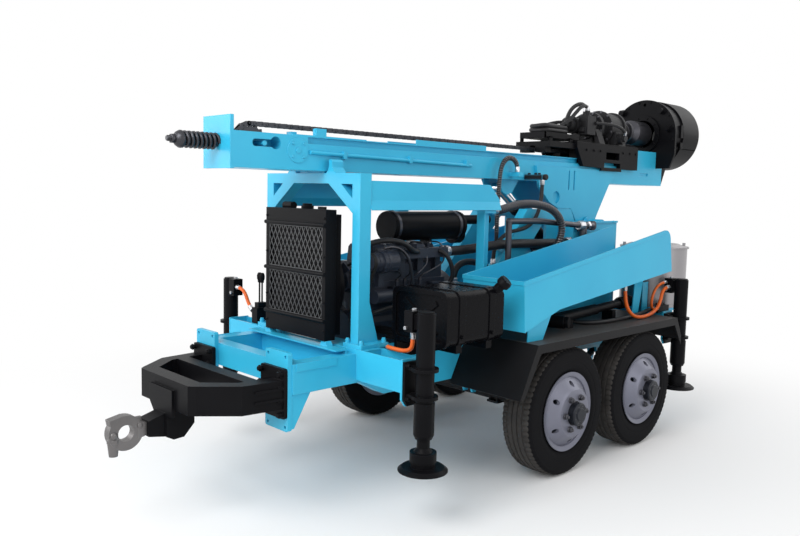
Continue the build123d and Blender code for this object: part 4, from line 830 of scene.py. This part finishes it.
def add_engine_details():
    # belt round the three pulleys, injection pipes, small hoses, cover bolts and alternator fins
    alternator_x, alternator_z = 0.235, 1.254
    bm = bmesh.new()
    spots = []
    for x, z, r in ((0, 0.860, 0.102), (0, 1.130, 0.070), (alternator_x, alternator_z, 0.052)):
        spots += [(x + r * cos(turn), z + r * sin(turn)) for turn in turns(40)]
    belt = hull_of(spots)
    belt_thick = 0.008
    rims = []
    inner = []
    for y in (-1.185, -1.163):
        middle = Vector((0.07, y, 1.06))
        outside = [Vector((x, y, z)) for x, z in belt]
        rims.append([bm.verts.new(spot) for spot in outside])
        inner.append([bm.verts.new(spot + (middle - spot).normalized() * belt_thick) for spot in outside])
    count = len(belt)
    for k in range(count):
        j = (k + 1) % count
        bm.faces.new((rims[0][k], rims[0][j], rims[1][j], rims[1][k]))
        bm.faces.new((inner[0][k], inner[1][k], inner[1][j], inner[0][j]))
        for e in (0, 1):
            bm.faces.new((rims[e][k], inner[e][k], inner[e][j], rims[e][j]))
    finish_piece("fan_belt", bm, RUBBER, "chassis", "hose_rubber", 45)
    # injection pipes from the pump's outlets to the ports in the head, and a wider pipe beside them
    bm = bmesh.new()
    outlets = [-0.920 + 0.062 * k for k in range(4)]
    ports = [-1.020 + 0.150 * k for k in range(4)]
    for y, port in zip(outlets, ports):
        line = smooth_line([(0.188, y, 1.128), (0.190, y, 1.150), (0.215, y + 0.01, 1.168),
                            (0.238, (y + port) / 2, 1.200), (0.240, port, 1.240), (0.205, port, 1.340),
                            (0.150, port, 1.352), (0.085, port, 1.345)])
        add_tube(bm, line, 0.0045, 8)
    for y in outlets:
        add_turned(bm, [(0, 0.011), (0.010, 0.011), (0.012, 0.008), (0.020, 0.008)],
                   (0.188, y, 1.126), (0, 0, 1), 6)
    add_tube(bm, smooth_line([(0.225, -1.06, 1.33), (0.245, -1.00, 1.345), (0.262, -0.92, 1.30),
                              (0.255, -0.86, 1.18), (0.225, -0.83, 1.06)]), 0.009, 10)
    finish_piece("injection_pipes", bm, DARK_STEEL, "chassis", "dark_steel")
    # small hoses on the engine's left side
    bm = bmesh.new()
    for points, r in (([(0.160, -1.10, 0.95), (0.21, -1.09, 0.97), (0.25, -1.00, 1.00),
                        (0.25, -0.88, 0.97), (0.21, -0.76, 0.94), (0.170, -0.70, 0.93)], 0.012),
                      ([(0.232, -0.62, 1.30), (0.262, -0.60, 1.29), (0.275, -0.55, 1.22),
                        (0.262, -0.52, 1.12), (0.215, -0.55, 1.065)], 0.013),
                      ([(0.10, -1.13, 1.30), (0.14, -1.16, 1.32), (0.20, -1.15, 1.36), (0.26, -1.06, 1.38),
                        (0.275, -0.95, 1.36), (0.262, -0.86, 1.30), (0.232, -0.80, 1.30)], 0.015)):
        add_tube(bm, evenly(smooth_line(points), r * 0.6), r, 12, ribs=r * 0.06)
    finish_piece("engine_hoses", bm, HOSE, "chassis", "hose_rubber", 60)
    # bolts of the engine's covers
    bm = bmesh.new()
    for x in (-0.078, 0.078):
        for k in range(5):
            add_bolt(bm, (x * 0.9, -1.045 + 0.127 * k, 1.334), (x, 0, 0.6), 0.007)
    ring = 0.185
    for turn in turns(8):
        add_bolt(bm, (ring * cos(turn), -0.405, 0.960 + ring * sin(turn)), (0, 1, 0), 0.008)
    for z in (0.80, 0.90, 1.00, 1.05):
        for side in (1, -1):
            add_bolt(bm, (side * 0.138, -1.1405, z), (0, -1, 0), 0.007)
    for y in (-0.95, -0.82, -0.70):
        add_bolt(bm, (0.1645, y, 0.82), (1, 0, 0), 0.008)
    finish_piece("engine_bolts", bm, BRIGHT, "chassis", "zinc_steel")
    # fins round the alternator
    bm = bmesh.new()
    ring = 0.062
    for turn in turns(14):
        x, z = alternator_x + ring * cos(turn), alternator_z + ring * sin(turn)
        add_bar(bm, (x, -1.105, z), (x, -1.010, z), 0.006, 0.004, up=(cos(turn), 0, sin(turn)))
    finish_piece("alternator_fins", bm, ENGINE, "chassis", "engine_iron")


def add_head_details():
    # hoses from the motor's ports to the loop on the tray, with bright fittings
    bm = bmesh.new()
    ends = bmesh.new()
    for points, r in (([(0.060, 1.145, 2.285), (0.060, 1.142, 2.325), (0.055, 1.08, 2.345),
                        (0.045, 0.98, 2.30), (0.060, 0.90, 2.215), (0.075, 0.86, 2.165)], 0.015),
                      ([(0.100, 1.110, 2.285), (0.102, 1.105, 2.318), (0.105, 1.03, 2.320),
                        (0.100, 0.95, 2.255), (0.085, 0.88, 2.185), (0.060, 0.83, 2.160)], 0.014),
                      ([(0.040, 1.060, 2.180), (0.030, 1.02, 2.18), (-0.02, 0.97, 2.20), (-0.07, 0.90, 2.19),
                        (-0.085, 0.83, 2.165)], 0.013),
                      ([(0.188, 1.500, 2.125), (0.215, 1.48, 2.15), (0.205, 1.38, 2.19), (0.16, 1.26, 2.20),
                        (0.125, 1.19, 2.20)], 0.012)):
        line = evenly(smooth_line(points), r * 0.6)
        add_tube(bm, line, r * 0.96, 12, ribs=r * 0.04)
        add_ferrule(ends, line[0], line[2] - line[0], r)
    finish_piece("head_hoses", bm, HOSE, "head", "hose_rubber", 60)
    finish_piece("head_fittings", ends, BRIGHT, "head", "zinc_steel")
    # the tray with three turns of hose lying in it
    bm = bmesh.new()
    loops = bmesh.new()
    for x in (-0.108, 0.108):
        add_bar(bm, (x, 0.571, 2.076), (x, 1.009, 2.076), 0.040, 0.008, up=(1, 0, 0))
    for y in (0.575, 1.005):
        add_bar(bm, (-0.112, y, 2.076), (0.112, y, 2.076), 0.040, 0.008)
    for k in range(9):
        y = 0.60 + 0.048 * k
        add_bar(bm, (-0.110, y, 2.058), (0.110, y, 2.058), 0.028, 0.007, up=(0, 0, 1))
    for side in (1, -1):
        for y in (0.615, 0.865):
            add_bar(bm, (side * 0.127, y, 2.031), (side * 0.127, y, 2.064), 0.030, 0.012, up=(1, 0, 0))
            add_bar(bm, (side * 0.104, y, 2.060), (side * 0.133, y, 2.060), 0.030, 0.010, up=(0, 0, 1))
    middle_y, straight, wave = 0.765, 0.096, 0.004
    for index, (radius, z) in enumerate(((0.072, 2.082), (0.069, 2.113), (0.065, 2.144))):
        loop = []
        for k in range(49):
            turn = tau * k / 48 + 0.3 * index
            stretch = straight if sin(turn) > 0 else -straight
            loop.append(Vector((radius * cos(turn), middle_y + stretch + radius * sin(turn),
                                z + wave * sin(2 * turn + index))))
        add_tube(loops, loop, 0.0165, 12)
    finish_piece("hose_loops", loops, HOSE, "head", "hose_rubber", 60)
    tray = finish_piece("hose_tray", bm, BLACK, "head", "black_paint")
    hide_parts("hose_drum")


def add_small_parts():
    # bands round the muffler, with a clip on the front one
    bm = bmesh.new()
    for y in (-0.86, -0.33):
        add_turned(bm, [(-0.010, 0.0905), (-0.009, 0.0935), (0.009, 0.0935), (0.010, 0.0905)],
                   (0.060, y, 1.442), (0, 1, 0), 36)
    add_bar(bm, (0.045, -0.86, 1.533), (0.075, -0.86, 1.533), 0.012, 0.012, up=(0, 0, 1))
    finish_piece("muffler_bands", bm, DARK_STEEL, "chassis", "dark_steel")
    # cap on the tank's slanting neck
    bm = bmesh.new()
    cap = Vector((0.8720, -0.7690, 1.1930))
    outward = Vector((0.027, 0.012, 0.029)).normalized()
    foot = cap - outward * 0.040
    knurl = [(0.000, 0.034), (0.004, 0.038), (0.030, 0.038), (0.036, 0.034), (0.039, 0.020)]
    add_turned(bm, knurl, foot, outward, 12)
    finish_piece("tank_cap", bm, BLACK, "chassis", "black_paint")
    # collars of the valve on the air pipe
    bm = bmesh.new()
    add_turned(bm, [(0, 0.030), (0.004, 0.034), (0.010, 0.034), (0.012, 0.012), (0.020, 0.012)],
               (0.341, 0.750, 1.340), (0, 0, -1), 20)
    add_turned(bm, [(-0.030, 0.030), (-0.026, 0.034), (0.026, 0.034), (0.030, 0.030)],
               (0.341, 0.715, 1.439), (0, 1, 0), 8)
    add_turned(bm, [(-0.012, 0.032), (0.012, 0.032)], (0.341, 0.800, 1.438), (0, 1, 0), 6)
    finish_piece("valve_body", bm, BRIGHT, "chassis", "zinc_steel")
    # plug and union on the lock valve of each jack
    bm = bmesh.new()
    for side in (1, -1):
        for y in JACK_Y:
            add_turned(bm, [(0, 0.012), (0.010, 0.012), (0.012, 0.009)],
                       (side * 0.800, y - 0.010, 1.078), (0, 0, 1), 6)
            add_turned(bm, [(0, 0.010), (0.014, 0.010)], (side * 0.785, y - 0.045, 0.995), (0, -1, 0), 6)
    finish_piece("jack_fittings", bm, BRIGHT, "chassis", "zinc_steel")
    # knobs of the two control levers
    bm = bmesh.new()
    for x in (-0.547, -0.519):
        add_turned(bm, [(0, 0.010), (0.010, 0.0155), (0.030, 0.0165), (0.044, 0.012), (0.048, 0.006)],
                   (x, -1.375, 1.092), (0, 0, 1), 16)
    finish_piece("lever_knobs", bm, BLACK, "chassis", "black_paint")
    # ball, hinge pin and latch of the cast tow eye
    bm = bmesh.new()
    dome = [(-0.034, 0.007), (-0.031, 0.014), (-0.026, 0.018), (0.026, 0.018), (0.031, 0.014), (0.034, 0.007)]
    add_turned(bm, dome, (0, -2.537, 0.500), (1, 0, 0), 24)
    add_turned(bm, [(-0.031, 0.010), (-0.029, 0.013), (0.029, 0.013), (0.031, 0.010)],
               (0, -2.412, 0.528), (1, 0, 0), 18)
    add_turned(bm, [(0, 0.014), (0.010, 0.013), (0.018, 0.008)], (0, -2.470, 0.567), (0, 0, 1), 16)
    add_block(bm, (-0.009, -2.452, 0.540), (0.009, -2.395, 0.566), 0.003)
    finish_piece("eye_latch", bm, CAST, "chassis", "zinc_steel")
    # black valve block on the mast with ports, plugs and an end cap
    bm = bmesh.new()
    add_block(bm, (0.1265, 0.3215, 1.7500), (0.2790, 0.3785, 1.7845), 0.004)
    add_turned(bm, [(0, 0.020), (0.016, 0.020), (0.020, 0.016)], (0.279, 0.350, 1.767), (1, 0, 0), 20)
    for x in (0.150, 0.205, 0.235):
        add_turned(bm, [(0, 0.011), (0.010, 0.011), (0.012, 0.008)], (x, 0.350, 1.7845), (0, 0, 1), 6)
    for x in (0.150, 0.205):
        add_turned(bm, [(0, 0.012), (0.014, 0.012), (0.016, 0.008)], (x, 0.3785, 1.767), (0, 1, 0), 6)
    finish_piece("mast_valve", bm, MATT, "mast", "black_paint")


add_camera()
add_lights()
add_floor()
dress_nodes()
add_grille()
add_tyres()
add_wheel_nuts()
add_spring()
add_chain()
add_hoses()
add_bolts()
add_engine_details()
add_head_details()
add_small_parts()

bpy.context.scene.view_settings.view_transform = "Standard"
